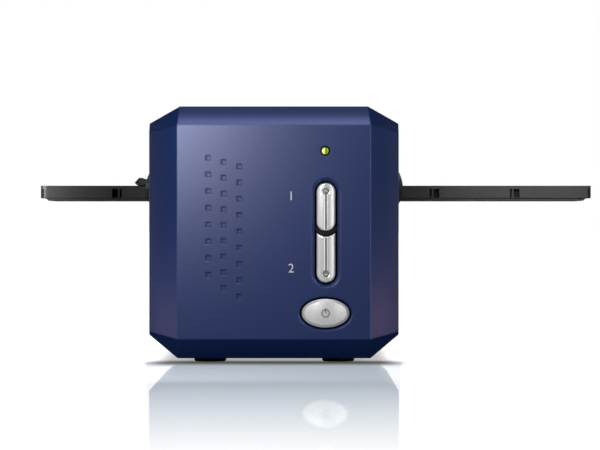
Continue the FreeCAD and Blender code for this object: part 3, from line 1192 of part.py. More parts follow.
def lens():
    front = "lens_front_y"
    bore = "glass_radius"
    points = [(bore, "0"), ("lens_radius - lens_step", "0"), ("lens_radius - lens_step", "lens_nose_long"),
              ("lens_radius", "lens_nose_long"), ("lens_radius", "lens_long - lens_step"),
              ("lens_radius - lens_step", "lens_long - lens_step"), ("lens_radius - lens_step", "lens_long"),
              (bore, "lens_long")]
    node("lens_barrel", turned("barrel", ("axis_x", front, "optic_z"), points, "Y"))
    curve = "((glass_radius * glass_radius + glass_bulge * glass_bulge) / (2 * glass_bulge))"
    middle = f"({front} + glass_inset + glass_thick / 2 + glass_bulge)"
    disc = rod("glass_disc", ("axis_x", f"{middle} - glass_thick / 2 - glass_bulge", "optic_z"),
               "glass_radius", "glass_thick + glass_bulge * 2", "Y")
    balls = []
    for index, sign in enumerate(("1", "-1")):
        ball = document.addObject("Part::Sphere", f"glass_ball_{index}")
        bind(ball, "Radius", curve)
        offset = f"{sign} * ({curve} - glass_bulge - glass_thick / 2)"
        balls.append(place(ball, "axis_x", f"{middle} + {offset}", "optic_z"))
    node("lens_glass", common("glass", disc, *balls))
    centre = "(lens_front_y + lens_long / 2)"
    span = (f"{centre} - saddle_long / 2", f"{centre} + saddle_long / 2")
    ring = tube("clamp_ring", ("axis_x", span[0], "optic_z"), "lens_radius + lens_gap + clamp_thick",
                "lens_radius + lens_gap", "saddle_long", "Y")
    upper = block("clamp_room", ("axis_x - saddle_half_wide", "axis_x + saddle_half_wide"), span,
                  ("optic_z", "optic_z + lens_radius * 2"))
    ear_low = "(lens_radius + lens_gap)"
    ear_blocks = [block(f"clamp_ear_{index}", x, span, ("optic_z", "optic_z + clamp_thick"))
                  for index, x in enumerate(((f"axis_x + {ear_low}", "axis_x + saddle_half_wide"),
                                             ("axis_x - saddle_half_wide", f"axis_x - {ear_low}")))]
    node("lens_clamp", fuse("clamp", common("clamp_half", ring, upper), *ear_blocks))


def sensor():
    face = "(deck_rear_y - bulkhead_thick)"
    node("sensor_board",
         block("sensor_card", ("axis_x - sensor_board_half_wide", "axis_x + sensor_board_half_wide"),
               (f"{face} - board_thick", face),
               ("optic_z - sensor_board_drop", "optic_z + sensor_board_rise")))
    node("image_sensor", block("sensor_chip", ("axis_x - sensor_half_wide", "axis_x + sensor_half_wide"),
                               (f"{face} - board_thick - sensor_thick", f"{face} - board_thick"),
                               ("optic_z - sensor_tall / 2", "optic_z + sensor_tall / 2")))


def lamp():
    low, high = "lamp_low", "lamp_high"
    y = ("scan_y - lamp_wide / 2", "scan_y + lamp_wide / 2")
    outer = block("lamp_outer", ("axis_x - lamp_half_wide", "axis_x + lamp_half_wide"), y, (low, high))
    inner_x = ("axis_x - lamp_half_wide + lamp_wall", "axis_x + lamp_half_wide - lamp_wall")
    inner_y = (f"{y[0]} + lamp_wall", f"{y[1]} - lamp_wall")
    inner = block("lamp_inner", inner_x, inner_y, (f"{low} - overrun", f"{high} - lamp_wall"))
    node("lamp_housing", cut("lamp_trough", outer, inner))
    node("lamp_tube", rod("tube_rod", (inner_x[0], "scan_y", f"({low} + {high}) / 2"), "lamp_tube_radius",
                          "(lamp_half_wide - lamp_wall) * 2", "X"))
    node("lamp_diffuser", block("diffuser", inner_x, inner_y, (low, f"{low} + diffuser_thick")))
    node("lamp_bridge", block("bridge", ("axis_x - bridge_half_wide", "axis_x + bridge_half_wide"),
                              ("bulkhead_front", "bulkhead_rear + bulkhead_thick"),
                              ("lamp_high", "lamp_high + bridge_thick")))


# Main board and sockets
def main_board():
    top = "(main_low + board_thick)"
    card = block("main_card", ("-main_half_wide", "main_half_wide"), ("main_front_y", "main_rear_y"),
                 ("main_low", top))
    holes, screws = [], []
    for index, (x, y) in enumerate(board_posts()):
        holes.append(screw_hole(f"main_hole_{index}", (x, y, f"{top} + overrun"), "Z",
                                "board_thick + overrun * 2"))
        screws.append(screw(f"main_screw_{index}", (x, y, top), "Z"))
    node("main_board", cut("main_drilled", card, *holes))
    node("main_board_screws", group("main_screws", *screws))
    middle = "((main_front_y + main_rear_y) / 2)"
    chips = [block("chip_large", ("-chip_wide / 2", "chip_wide / 2"),
                   (f"{middle} - chip_wide / 2", f"{middle} + chip_wide / 2"), (top, f"{top} + chip_tall")),
             block("chip_small", ("-chip_small_wide / 2", "chip_small_wide / 2"),
                   (f"{middle} + chip_wide", f"{middle} + chip_wide + chip_small_wide"),
                   (top, f"{top} + chip_tall"))]
    node("main_board_chips", group("chips", *chips))
    shell = block("usb_shell", ("usb_x - usb_wide / 2", "usb_x + usb_wide / 2"),
                  ("rear_y - usb_deep", "rear_y"), (top, f"{top} + usb_tall"))
    mouth = block("usb_mouth", ("usb_x - usb_wide / 2 + usb_wall", "usb_x + usb_wide / 2 - usb_wall"),
                  ("rear_y - usb_deep * socket_mouth_share", "rear_y + overrun"),
                  (f"{top} + usb_wall", f"{top} + usb_tall - usb_wall"))
    tongue = block("usb_tongue", ("usb_x - usb_tongue_wide / 2", "usb_x + usb_tongue_wide / 2"),
                   ("rear_y - usb_deep * socket_pin_share", "rear_y - usb_wall * 2"),
                   (f"{top} + usb_tall / 2 - usb_tongue_tall / 2",
                    f"{top} + usb_tall / 2 + usb_tongue_tall / 2"))
    node("usb_socket", fuse("usb", cut("usb_open", shell, mouth), tongue))
    case = block("jack_case", ("jack_x - jack_wide / 2", "jack_x + jack_wide / 2"),
                 ("rear_y - jack_deep", "rear_y"), (top, f"{top} + jack_tall"))
    centre_z = f"({top} + jack_tall / 2)"
    bore = rod("jack_bore", ("jack_x", "rear_y - jack_deep * socket_mouth_share", centre_z), "jack_radius",
               "jack_deep * socket_mouth_share + overrun", "Y")
    pin = rod("jack_pin", ("jack_x", "rear_y - jack_deep * socket_pin_share", centre_z), "jack_pin_radius",
              "jack_deep * jack_pin_share", "Y")
    node("power_jack", fuse("jack", cut("jack_open", case, bore), pin))


front_panel()
scan_buttons()
power_button()
button_plate()
button_board()
status_light()
upper_housing()
lower_housing()
rear_panel()
feet()
for frame_side, frame_word in (("-1", "left"), ("1", "right")):
    slot_frame("slot_frame_" + frame_word, frame_side)
    dust_door("dust_door_" + frame_word, frame_side)
film_holder()
film_stage()
guide_rods()
drive()
chassis()
mirror()
lens()
sensor()
lamp()
main_board()

document.recompute()
faults = [thing.Name for thing in document.Objects if {"Invalid", "Error"} & set(thing.State)]
if faults:
    raise RuntimeError("failed: " + ", ".join(faults))
os.makedirs("parts", exist_ok=True)
for thing in NODES:
    shape = thing.Shape
    if shape.isNull() or not shape.isValid() or not shape.Solids:
        raise RuntimeError("no sound solid in " + thing.Label)
for thing in NODES:
    thing.Shape.exportStep(f"parts/{thing.Label}.step")
    box = thing.Shape.BoundBox
    print(f"{thing.Label:24} solids {len(thing.Shape.Solids)}  volume {thing.Shape.Volume:10.1f}  "
          f"x {box.XMin:7.2f} {box.XMax:7.2f}  y {box.YMin:7.2f} {box.YMax:7.2f}  "
          f"z {box.ZMin:6.2f} {box.ZMax:6.2f}")
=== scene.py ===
import json
import math

import bpy
from mathutils import Matrix, Vector


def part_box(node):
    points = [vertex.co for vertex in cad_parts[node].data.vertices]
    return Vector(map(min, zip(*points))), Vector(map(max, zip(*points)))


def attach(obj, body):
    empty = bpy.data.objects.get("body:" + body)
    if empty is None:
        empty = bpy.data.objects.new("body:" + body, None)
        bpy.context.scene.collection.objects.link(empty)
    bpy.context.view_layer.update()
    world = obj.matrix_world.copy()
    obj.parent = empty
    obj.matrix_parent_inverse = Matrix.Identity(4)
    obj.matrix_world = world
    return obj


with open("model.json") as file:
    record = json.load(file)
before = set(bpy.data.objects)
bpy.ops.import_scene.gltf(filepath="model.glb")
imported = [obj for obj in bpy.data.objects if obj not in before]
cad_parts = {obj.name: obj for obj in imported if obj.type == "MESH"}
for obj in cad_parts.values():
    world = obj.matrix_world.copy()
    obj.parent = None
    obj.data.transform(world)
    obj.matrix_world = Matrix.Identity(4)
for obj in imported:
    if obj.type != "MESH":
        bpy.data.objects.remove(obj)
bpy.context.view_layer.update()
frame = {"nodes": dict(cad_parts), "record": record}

# Desktop film negative scanner: its finishes and printed numerals, then the table, studio, lamps and camera.
# Lengths are in metres. MM turns a size in millimetres into metres.
MM = 0.001
NODES = frame["nodes"]

# Camera, fitted to the photograph: a long lens, level, two metres in front of the scanner. That distance wasn't
# measured. It was chosen with the holder's place in depth, so that the pitch of the holder's notches comes out right.
IMAGE_WIDE = 600
CAMERA_PLACE = Vector((12.1, -2006.0, 63.9)) * MM
FOCAL_PIXELS = 4051
SENSOR_WIDE = 36.0
FARTHEST_SEEN = 100

# Columns of dimples in the front panel: their X, the Z of the topmost and the pitch, in mm
DIMPLES = (-30.3, 94.9, 7.714), (-23.2, 92.9, 7.275), (-15.9, 90.9, 7.5125)

# Crowns of the button caps, which are shading alone, each with its axis, its reach from the cap's middle and its
# rise in mm, and then the least and the greatest roughness of the cap's lacquer
SCAN_CAP = (("X", 4.3, 1.03),), (0.17, 0.25)
POWER_CAP = (("X", 10.95, 2.9), ("Z", 6.6, 0.5)), (0.34, 0.42)
CAPS = {"scan_button_upper": SCAN_CAP, "scan_button_lower": SCAN_CAP, "power_button": POWER_CAP}

# Printed numerals beside the two scan buttons. The font's size is 1.4 times the height of its digits.
NUMERAL_TALL = 4.2 * MM
FONT_SIZE = 1.4
INK_THICK = 0.05 * MM
NUMERAL_GAP = 9 * MM
UPRIGHT = Matrix.Rotation(math.radians(90), 3, "X")

# Levels of the studio: soft light, and what reflections see of the felt, the side panels and the overhead panel
SKY_LEVEL = 0.58
FELT_LEVEL = 0.01
PANEL_LEVELS = 1.3, 3.2
OVERHEAD_LEVEL = 3.6

# Kinds of node and settings that come up often
MATH, RAMP, MIX, NOISE = "ShaderNodeMath", "ShaderNodeMapRange", "ShaderNodeMix", "ShaderNodeTexNoise"
SPLIT, BUMP, OUTPUT = "ShaderNodeSeparateXYZ", "ShaderNodeBump", "ShaderNodeOutputMaterial"
PRODUCT, SUM, DIFFERENCE = {"operation": "MULTIPLY"}, {"operation": "ADD"}, {"operation": "SUBTRACT"}
LARGER, SMALLER, UNSIGNED = {"operation": "MAXIMUM"}, {"operation": "MINIMUM"}, {"operation": "ABSOLUTE"}
SMOOTH = {"interpolation_type": "SMOOTHSTEP"}
COLOURS = {"data_type": "RGBA"}


def linear(colour):
    """Linear colour from an sRGB hex value such as "2B3A6F"."""
    channels = [int(colour[i:i + 2], 16) / 255 for i in (0, 2, 4)]
    return [c / 12.92 if c <= 0.04045 else ((c + 0.055) / 1.055) ** 2.4 for c in channels] + [1.0]


def join(tree, node, **inputs):
    """Set or link a node's inputs, each named with underscores for its spaces, or with i and its number.

    Text is a colour in hex, and a node stands for the first of its outputs that is in use.
    """
    for name, value in inputs.items():
        socket = node.inputs[int(name[1:]) if name[0] == "i" and name[1:].isdigit() else name.replace("_", " ")]
        if isinstance(value, bpy.types.Node):
            value = next(output for output in value.outputs if output.enabled)
        if isinstance(value, bpy.types.NodeSocket):
            tree.links.new(value, socket)
        else:
            socket.default_value = linear(value) if isinstance(value, str) else value


def add(tree, kind, settings=None, **inputs):
    """Add a node with its settings and links."""
    made = tree.nodes.new(kind)
    for name, value in (settings or {}).items():
        setattr(made, name, value)
    join(tree, made, **inputs)
    return made


def emptied(owner):
    """The node tree of a new material or world, with nothing in it."""
    owner.use_nodes = True
    owner.node_tree.nodes.clear()
    return owner.node_tree


def material(name, **values):
    """A material with one Principled shader whose constant values sit on its own sockets."""
    made = bpy.data.materials.new(name)
    tree = emptied(made)
    shader = add(tree, "ShaderNodeBsdfPrincipled", **values)
    add(tree, OUTPUT, Surface=shader)
    return made, tree, shader


def real_place(tree):
    """The place of a point in metres on the object at rest."""
    return add(tree, "ShaderNodeTexCoord").outputs["Object"]


def within(tree, *edges):
    """1 inside a region and 0 outside. Each edge is a value, what it is outside and what it is inside."""
    found = 1.0
    for value, outside, inside in edges:
        edge = add(tree, RAMP, SMOOTH, Value=value, From_Min=outside, From_Max=inside)
        found = add(tree, MATH, PRODUCT, i0=found, i1=edge)
    return found


def distance(tree, across, up):
    """Distance from a middle, from how far a point lies across and up."""
    squares = [add(tree, MATH, PRODUCT, i0=reach, i1=reach) for reach in (across, up)]
    return add(tree, MATH, {"operation": "SQRT"}, i0=add(tree, MATH, SUM, i0=squares[0], i1=squares[1]))


def crown(tree, share, rise):
    """Height of a crowned surface, from the share of the way across it. Share times rest is a quarter at its peak."""
    rest = add(tree, MATH, DIFFERENCE, i0=1.0, i1=share)
    return add(tree, MATH, PRODUCT, i0=add(tree, MATH, PRODUCT, i0=share, i1=rest), i1=4 * rise)


def patchy(tree, dark, pale, patch_mm, detail=3.0):
    """Slow change between two near colours, in patches of a real size."""
    patches = add(tree, NOISE, Vector=real_place(tree), Scale=1 / (patch_mm * MM), Detail=detail)
    return add(tree, MIX, COLOURS, Factor=patches, i6=dark, i7=pale)


def grain(tree, shader, size_mm, depth_mm, spread, detail=2.0):
    """Fine moulded or sprayed texture: bumps of a real size and depth, and roughness that varies about its own."""
    noise = add(tree, NOISE, Vector=real_place(tree), Scale=1 / (size_mm * MM), Detail=detail)
    middle = shader.inputs["Roughness"].default_value
    join(tree, shader, Normal=add(tree, BUMP, Height=noise, Distance=depth_mm * MM, Strength=1.0),
         Roughness=add(tree, RAMP, Value=noise, To_Min=middle - spread, To_Max=middle + spread))


# Materials, each named for what the real surface is
def painted_dimple_shade(tree, split, front):
    """Where painted shade darkens the floor of a square dimple, along its left, top and bottom walls, as 0 to 1."""
    lean = 0.3
    shade_start, shade_full = 0.4 * MM, 0.9 * MM
    wall, clear = 1.6 * MM, 1.5 * MM
    found = 0.0
    for x, z, pitch in DIMPLES:
        half = pitch / 2
        from_column = add(tree, MATH, DIFFERENCE, i0=split["X"], i1=(x + lean) * MM)
        across = add(tree, MATH, UNSIGNED, i0=from_column)
        down = add(tree, MATH, DIFFERENCE, i0=(z + half) * MM, i1=split["Z"])
        in_pitch = add(tree, MATH, {"operation": "FLOORED_MODULO"}, i0=down, i1=pitch * MM)
        up = add(tree, MATH, UNSIGNED, i0=add(tree, MATH, DIFFERENCE, i0=in_pitch, i1=half * MM))
        farther = add(tree, MATH, LARGER, i0=across, i1=up)
        rim_shade = within(tree, (farther, shade_start, shade_full), (across, wall, clear))
        found = add(tree, MATH, LARGER, i0=found, i1=rim_shade)
    # Only on the flat face: from just behind its front to past the dimples' floor, and short of its chamfers
    face, past_floor = (front + 0.1 * MM, front + 0.5 * MM), (front + 3.5 * MM, front + 3 * MM)
    foot_chamfer, head_chamfer = (20 * MM, 22 * MM), (106 * MM, 104 * MM)
    flat_face = within(tree, (split["Y"], *face), (split["Y"], *past_floor),
                       (split["Z"], *foot_chamfer), (split["Z"], *head_chamfer))
    return add(tree, MATH, PRODUCT, i0=found, i1=flat_face)


def sprayed_metallic_paint():
    """Navy lacquer with fine metal flake on ABS: satin, so a near light spreads into a lavender sheen.

    The slight crown of the facets is shading alone. The walls of the front's openings are unpainted plastic, darkened
    to near-black as painted shade.
    """
    made, tree, shader = material("sprayed_metallic_paint", IOR=1.5, Specular_IOR_Level=1.0,
                                  Specular_Tint="D4D4FF", Coat_Weight=0.8, Coat_Roughness=0.33)
    place = real_place(tree)
    split = add(tree, SPLIT, Vector=place).outputs
    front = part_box("front_panel")[0].y

    # Colour: the lacquer, duller and redder as painted shade in the dimples, and unpainted plastic darkened to
    # near-black as painted shade behind the openings' edges
    rims = painted_dimple_shade(tree, split, front)
    # Painted shade: 0E1858 where the dimples' walls would shade their floors
    lacquer = add(tree, MIX, COLOURS, Factor=rims, i6=patchy(tree, "00245B", "032963", 30), i7="0E1858")
    low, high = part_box("button_plate")
    skin_start, skin_end, beyond = front + 0.9 * MM, front + 1.3 * MM, 1 * MM
    # Known fault: this mask has no rear limit in Y, and a dark rectangle of its size shows on rear_panel
    # Painted shade: the walls of the front's openings turn near-black and lose their metal
    bare_wall_shade = within(tree, (split["Y"], skin_start, skin_end),
                  (split["X"], low.x - beyond, low.x), (split["X"], high.x + beyond, high.x),
                  (split["Z"], low.z - beyond, low.z), (split["Z"], high.z + beyond, high.z))
    painted = add(tree, MATH, DIFFERENCE, i0=1.0, i1=bare_wall_shade)
    metal_share = 0.1

    # Flake, drawn as cells of 0.22 mm, because real flake of about 0.03 mm is too fine to show
    flake = 0.22 * MM
    flake_roughness, gap_roughness, shade_roughness = 0.30, 0.37, 0.95
    flakes = add(tree, "ShaderNodeTexVoronoi", {"feature": "F1"}, Vector=place, Scale=1 / flake)
    satin = add(tree, RAMP, SMOOTH, Value=flakes, To_Min=flake_roughness, To_Max=gap_roughness)
    dull = add(tree, MATH, PRODUCT, i0=rims, i1=shade_roughness)
    join(tree, shader, Base_Color=add(tree, MIX, COLOURS, Factor=bare_wall_shade, i6=lacquer, i7="050508"),
         Metallic=add(tree, MATH, PRODUCT, i0=painted, i1=metal_share),
         Roughness=add(tree, MATH, LARGER, i0=dull, i1=satin))

    # Relief: crowned side and top facets, the sprayed skin, and edges rounded as a moulding's are
    side_facet, side_rise = 13.3 * MM, 0.5 * MM
    top_facet, top_rise = 8.8 * MM, 0.9 * MM
    skin_size, skin_depth, edge_round = 0.5 * MM, 0.003 * MM, 0.9 * MM
    skin = add(tree, NOISE, Vector=place, Scale=1 / skin_size, Detail=2.0)
    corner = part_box("upper_housing")[1]
    across = add(tree, MATH, UNSIGNED, i0=split["X"])
    side = add(tree, RAMP, Value=across, From_Min=corner.x - side_facet, From_Max=corner.x)
    over = add(tree, RAMP, Value=split["Z"], From_Min=corner.z - top_facet, From_Max=corner.z)
    height = add(tree, MATH, SUM, i0=crown(tree, side, side_rise), i1=crown(tree, over, top_rise))
    height = add(tree, MATH, SUM, i0=height, i1=add(tree, MATH, PRODUCT, i0=skin, i1=skin_depth))
    rounded = add(tree, "ShaderNodeBevel", {"samples": 4}, Radius=edge_round)
    join(tree, shader, Normal=add(tree, BUMP, Height=height, Distance=1.0, Strength=1.0, Normal=rounded))
    return made


def groove_and_dot(tree, split, across, node_name):
    """Height of a scan button's cap round its long groove and the dot at its end, with soft rims."""
    dot_inset, end_inset, depth = 4.0 * MM, 0.8 * MM, 0.22 * MM
    groove_rim, groove_edge = 0.35 * MM, 1.05 * MM
    dot_rim, dot_edge = 1.4 * MM, 2.1 * MM
    low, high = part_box(node_name)
    if node_name == "scan_button_upper":
        dot, end = high.z - dot_inset, low.z + end_inset
    else:
        dot, end = low.z + dot_inset, high.z - end_inset
    above = add(tree, MATH, DIFFERENCE, i0=split["Z"], i1=max(dot, end))
    below = add(tree, MATH, DIFFERENCE, i0=min(dot, end), i1=split["Z"])
    past = add(tree, MATH, LARGER, i0=add(tree, MATH, LARGER, i0=above, i1=below), i1=0.0)
    along = within(tree, (distance(tree, across, past), groove_rim, groove_edge))
    from_dot = add(tree, MATH, DIFFERENCE, i0=split["Z"], i1=dot)
    round_dot = within(tree, (distance(tree, across, from_dot), dot_rim, dot_edge))
    lower = add(tree, MATH, SMALLER, i0=along, i1=round_dot)
    return add(tree, MATH, PRODUCT, i0=lower, i1=depth)


def satin_silver_paint(node_name, crowns, gloss):
    """Silver lacquer on a button cap, darkened by painted shade in its recessed marks.

    The cap's crown and the soft rims of its groove and dot are shading alone. The tabs and the stem behind the panel
    are unlacquered dark plastic, kept dark as painted shade in the gap round the cap.
    """
    made, tree, shader = material("satin_silver_paint_of_" + node_name, IOR=1.5)
    place = real_place(tree)
    split = add(tree, SPLIT, Vector=place).outputs
    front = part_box("front_panel")[0].y
    low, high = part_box(node_name)
    middle = (low + high) / 2
    across = add(tree, MATH, UNSIGNED, i0=add(tree, MATH, DIFFERENCE, i0=split["X"], i1=middle.x))
    depth = add(tree, MATH, DIFFERENCE, i0=split["Y"], i1=low.y)

    # Colour: unlacquered dark plastic behind the panel, kept dark as painted shade in the gap round the cap, lacquer
    # on the cap, and a darker grey as painted shade in the ring, the groove and the dot
    paint_edge, ring_depth = (front + 0.7 * MM, front + 0.2 * MM), (0.28 * MM, 0.22 * MM)
    groove_depth, groove_side = (0.05 * MM, 0.15 * MM), (1.9 * MM, 1.6 * MM)
    painted = within(tree, (split["Y"], *paint_edge))
    if node_name == "power_button":
        recess_shade, thin = within(tree, (depth, *ring_depth)), "6C6D70"
    else:
        recess_shade, thin = within(tree, (depth, *groove_depth), (across, *groove_side)), "949598"
    lacquer = add(tree, MIX, COLOURS, Factor=recess_shade, i6=patchy(tree, "D8D9D9", "E2E2E1", 4), i7=thin)
    metal_share = 0.38

    # Relief: the sprayed skin, the groove with its dot, and the crown
    skin_size, skin_depth = 0.3 * MM, 0.003 * MM
    skin = add(tree, NOISE, Vector=place, Scale=1 / skin_size, Detail=2.0)
    height = add(tree, MATH, PRODUCT, i0=skin, i1=skin_depth)
    if node_name != "power_button":
        height = add(tree, MATH, SUM, i0=height, i1=groove_and_dot(tree, split, across, node_name))
    for axis, reach, rise in crowns:
        centre = getattr(middle, axis.lower())
        share = add(tree, RAMP, Value=split[axis], From_Min=centre - reach * MM, From_Max=centre + reach * MM)
        height = add(tree, MATH, SUM, i0=height, i1=crown(tree, share, rise * MM))
    join(tree, shader, Base_Color=add(tree, MIX, COLOURS, Factor=painted, i6="08090C", i7=lacquer),
         Metallic=add(tree, MATH, PRODUCT, i0=painted, i1=metal_share),
         Roughness=add(tree, RAMP, SMOOTH, Value=skin, To_Min=gloss[0], To_Max=gloss[1]),
         Normal=add(tree, BUMP, Height=height, Distance=1.0, Strength=1.0))
    return made


def black_abs():
    """Black ABS moulding with a fine spark-eroded grain that greys its highlights, and near-black painted shade on
    the walls in its notches.
    """
    made, tree, shader = material("black_abs", Roughness=0.5, IOR=1.53)
    place = real_place(tree)
    split = add(tree, SPLIT, Vector=place).outputs
    low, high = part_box("film_holder_base")
    from_middle = add(tree, MATH, DIFFERENCE, i0=split["Y"], i1=(low.y + high.y) / 2)
    outward = add(tree, MATH, DIFFERENCE, i0=add(tree, MATH, UNSIGNED, i0=from_middle), i1=(high.y - low.y) / 2)
    # Painted shade: the walls in the holder's notches are near-black and dull
    notch_mouth, notch_back = (-0.2 * MM, -0.5 * MM), (-2.1 * MM, -1.9 * MM)
    notch_floor, notch_roof = (low.z + 1.2 * MM, low.z + 1.6 * MM), (low.z + 5.9 * MM, low.z + 5.3 * MM)
    notch_shade = within(tree, (outward, *notch_mouth), (outward, *notch_back),
                   (split["Z"], *notch_floor), (split["Z"], *notch_roof))
    grain_size, grain_depth, edge_round = 0.35 * MM, 0.02 * MM, 0.35 * MM
    face_roughness, notch_roughness = 0.5, 0.9
    skin = add(tree, NOISE, Vector=place, Scale=1 / grain_size, Detail=3.0)
    rounded = add(tree, "ShaderNodeBevel", {"samples": 4}, Radius=edge_round)
    join(tree, shader,
         Base_Color=add(tree, MIX, COLOURS, Factor=notch_shade, i6=patchy(tree, "262628", "2E2E31", 25), i7="010101"),
         Roughness=add(tree, RAMP, SMOOTH, Value=notch_shade, To_Min=face_roughness, To_Max=notch_roughness),
         Normal=add(tree, BUMP, Height=skin, Distance=grain_depth, Strength=1.0, Normal=rounded))
    return made


def plain_black_abs():
    """Black ABS of the parts behind the buttons and inside, smooth from the tool."""
    made, tree, shader = material("plain_black_abs", Roughness=0.42, IOR=1.53)
    join(tree, shader, Base_Color=patchy(tree, "0A0A10", "101016", 15))
    grain(tree, shader, 0.6, 0.005, spread=0.04)
    return made


def grey_abs():
    """Dark grey-green ABS of the slot frames, satin, so its edge catches a pale line."""
    made, tree, shader = material("grey_abs", Roughness=0.36, IOR=1.53)
    join(tree, shader, Base_Color=patchy(tree, "2A3032", "343A3C", 20))
    grain(tree, shader, 0.4, 0.008, spread=0.05)
    return made


def door_abs():
    """Near-black ABS of the dust doors, slightly glossy from handling."""
    made, tree, shader = material("door_abs", Roughness=0.33, IOR=1.53)
    join(tree, shader, Base_Color=patchy(tree, "19191B", "212124", 12))
    grain(tree, shader, 0.4, 0.006, spread=0.05)
    return made


def moulded_rubber():
    """Black moulded rubber: very dull, with a fine matt tooth."""
    made, tree, shader = material("moulded_rubber", Roughness=0.85, IOR=1.52)
    join(tree, shader, Base_Color=patchy(tree, "151613", "1D1E1A", 8))
    grain(tree, shader, 0.25, 0.03, spread=0.08, detail=4.0)
    return made


def lit_acrylic():
    """Clear yellow-green acrylic light pipe, lit from behind, with a painted highlight on one side, a darker heart,
    and painted shade round its edge.
    """
    made, tree, shader = material("lit_acrylic", Roughness=0.12, IOR=1.49, Emission_Strength=0.75, Coat_Weight=0.6,
                                  Coat_Roughness=0.05)
    lens_reach, rim_start, rim_full = 1.6 * MM, 1.35 * MM, 1.75 * MM
    low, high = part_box("status_light")
    middle = (low + high) / 2
    split = add(tree, SPLIT, Vector=real_place(tree)).outputs
    across = add(tree, MATH, DIFFERENCE, i0=split["X"], i1=middle.x)
    up = add(tree, MATH, DIFFERENCE, i0=split["Z"], i1=middle.z)
    share = add(tree, RAMP, Value=across, From_Min=-lens_reach, From_Max=lens_reach)
    glow_with_painted_highlight = add(tree, "ShaderNodeValToRGB", Fac=share)
    # Glow across the pipe: a painted highlight on its left side, darkest past its middle, paler again at its right
    stops = ((0.0, "DCE890"), (0.3, "D8E660"), (0.46, "86A018"), (0.6, "4A5E06"), (0.8, "7C9038"), (1.0, "6E8440"))
    elements = glow_with_painted_highlight.color_ramp.elements
    while len(elements) < len(stops):
        elements.new(0.5)
    for element, (at, colour) in zip(elements, stops):
        element.position = at
        element.color = linear(colour)
    # Painted shade: a near-black ring round the pipe's edge
    rim_shade = within(tree, (distance(tree, across, up), rim_start, rim_full))
    lens = add(tree, MIX, COLOURS, Factor=rim_shade, i6=glow_with_painted_highlight, i7="10130C")
    join(tree, shader, Base_Color=lens, Emission_Color=lens)
    return made


def solder_mask():
    """Green epoxy circuit board under a glossy solder mask, with faint track relief."""
    made, tree, shader = material("solder_mask", Roughness=0.28, IOR=1.55, Coat_Weight=0.4, Coat_Roughness=0.12)
    track_spacing, mask_depth = 6 * MM, 0.02 * MM
    tracks = add(tree, "ShaderNodeTexBrick", Vector=real_place(tree), Scale=1 / track_spacing, Mortar_Size=0.05,
                 Color1="0E4A26", Color2="0C4222", Mortar="2C7A45")
    relief = add(tree, BUMP, Height=tracks.outputs["Fac"], Distance=mask_depth, Strength=1.0)
    join(tree, shader, Base_Color=tracks, Normal=relief)
    return made


def moulded_epoxy():
    """Black epoxy of chips, switches and sockets: matt with a grainy top."""
    made, tree, shader = material("moulded_epoxy", Roughness=0.6, IOR=1.55)
    join(tree, shader, Base_Color=patchy(tree, "121214", "1A1A1C", 4))
    grain(tree, shader, 0.2, 0.01, spread=0.05)
    return made


def zinc_plated_steel():
    """Bright zinc on turned or pressed steel, with fine directionless scratches."""
    made, tree, shader = material("zinc_plated_steel", Metallic=1.0, Roughness=0.3)
    join(tree, shader, Base_Color=patchy(tree, "A9ABAE", "BDBFC1", 10))
    grain(tree, shader, 0.8, 0.004, spread=0.1, detail=5.0)
    return made


def cast_aluminium():
    """Die-cast aluminium: pale, dull and slightly pebbled from the die."""
    made, tree, shader = material("cast_aluminium", Metallic=1.0, Roughness=0.5)
    join(tree, shader, Base_Color=patchy(tree, "A6A7A9", "B7B8B9", 18))
    grain(tree, shader, 1.2, 0.03, spread=0.08, detail=4.0)
    return made


def sintered_bronze():
    """Oiled sintered bronze of the bushes: brown-gold and porous."""
    made, tree, shader = material("sintered_bronze", Metallic=1.0, Roughness=0.45)
    join(tree, shader, Base_Color=patchy(tree, "8F6B3C", "A37B45", 3))
    grain(tree, shader, 0.15, 0.01, spread=0.08)
    return made


def white_acetal():
    """White acetal of the gears and the rack: waxy, slightly see-through at its edges."""
    made, tree, shader = material("white_acetal", Roughness=0.4, IOR=1.48, Subsurface_Weight=0.15,
                                  Subsurface_Scale=0.5 * MM)
    join(tree, shader, Base_Color=patchy(tree, "E2E2DC", "ECECE6", 8))
    grain(tree, shader, 0.5, 0.004, spread=0.05)
    return made


def front_silvered_glass():
    """Glass slab silvered on its front face, as a scanner's mirror is."""
    made, tree, shader = material("front_silvered_glass", Metallic=1.0, Roughness=0.03)
    join(tree, shader, Base_Color=patchy(tree, "E4E8EA", "EAEDEF", 30))
    return made


def coated_glass():
    """Optical glass with a magenta-green antireflection coat."""
    made, tree, shader = material("coated_glass", Roughness=0.02, IOR=1.52, Transmission_Weight=1.0,
                                  Coat_Weight=0.4, Coat_Tint="C8A8E8")
    join(tree, shader, Base_Color=patchy(tree, "E6F0EE", "EEF4F4", 20))
    return made


def opal_glass():
    """Opal white lamp glass and diffuser: even and softly scattering."""
    made, tree, shader = material("opal_glass", Roughness=0.25, IOR=1.5, Subsurface_Weight=0.4,
                                  Subsurface_Scale=1.0 * MM)
    join(tree, shader, Base_Color=patchy(tree, "F0F0EA", "F6F6F2", 12))
    return made


def pad_printed_ink():
    """Pale grey pad-printed ink, thin and slightly uneven."""
    made, tree, shader = material("pad_printed_ink", Roughness=0.5, IOR=1.5)
    join(tree, shader, Base_Color=patchy(tree, "B4B4B8", "C2C2C6", 1.5))
    grain(tree, shader, 0.3, 0.004, spread=0.05)
    return made


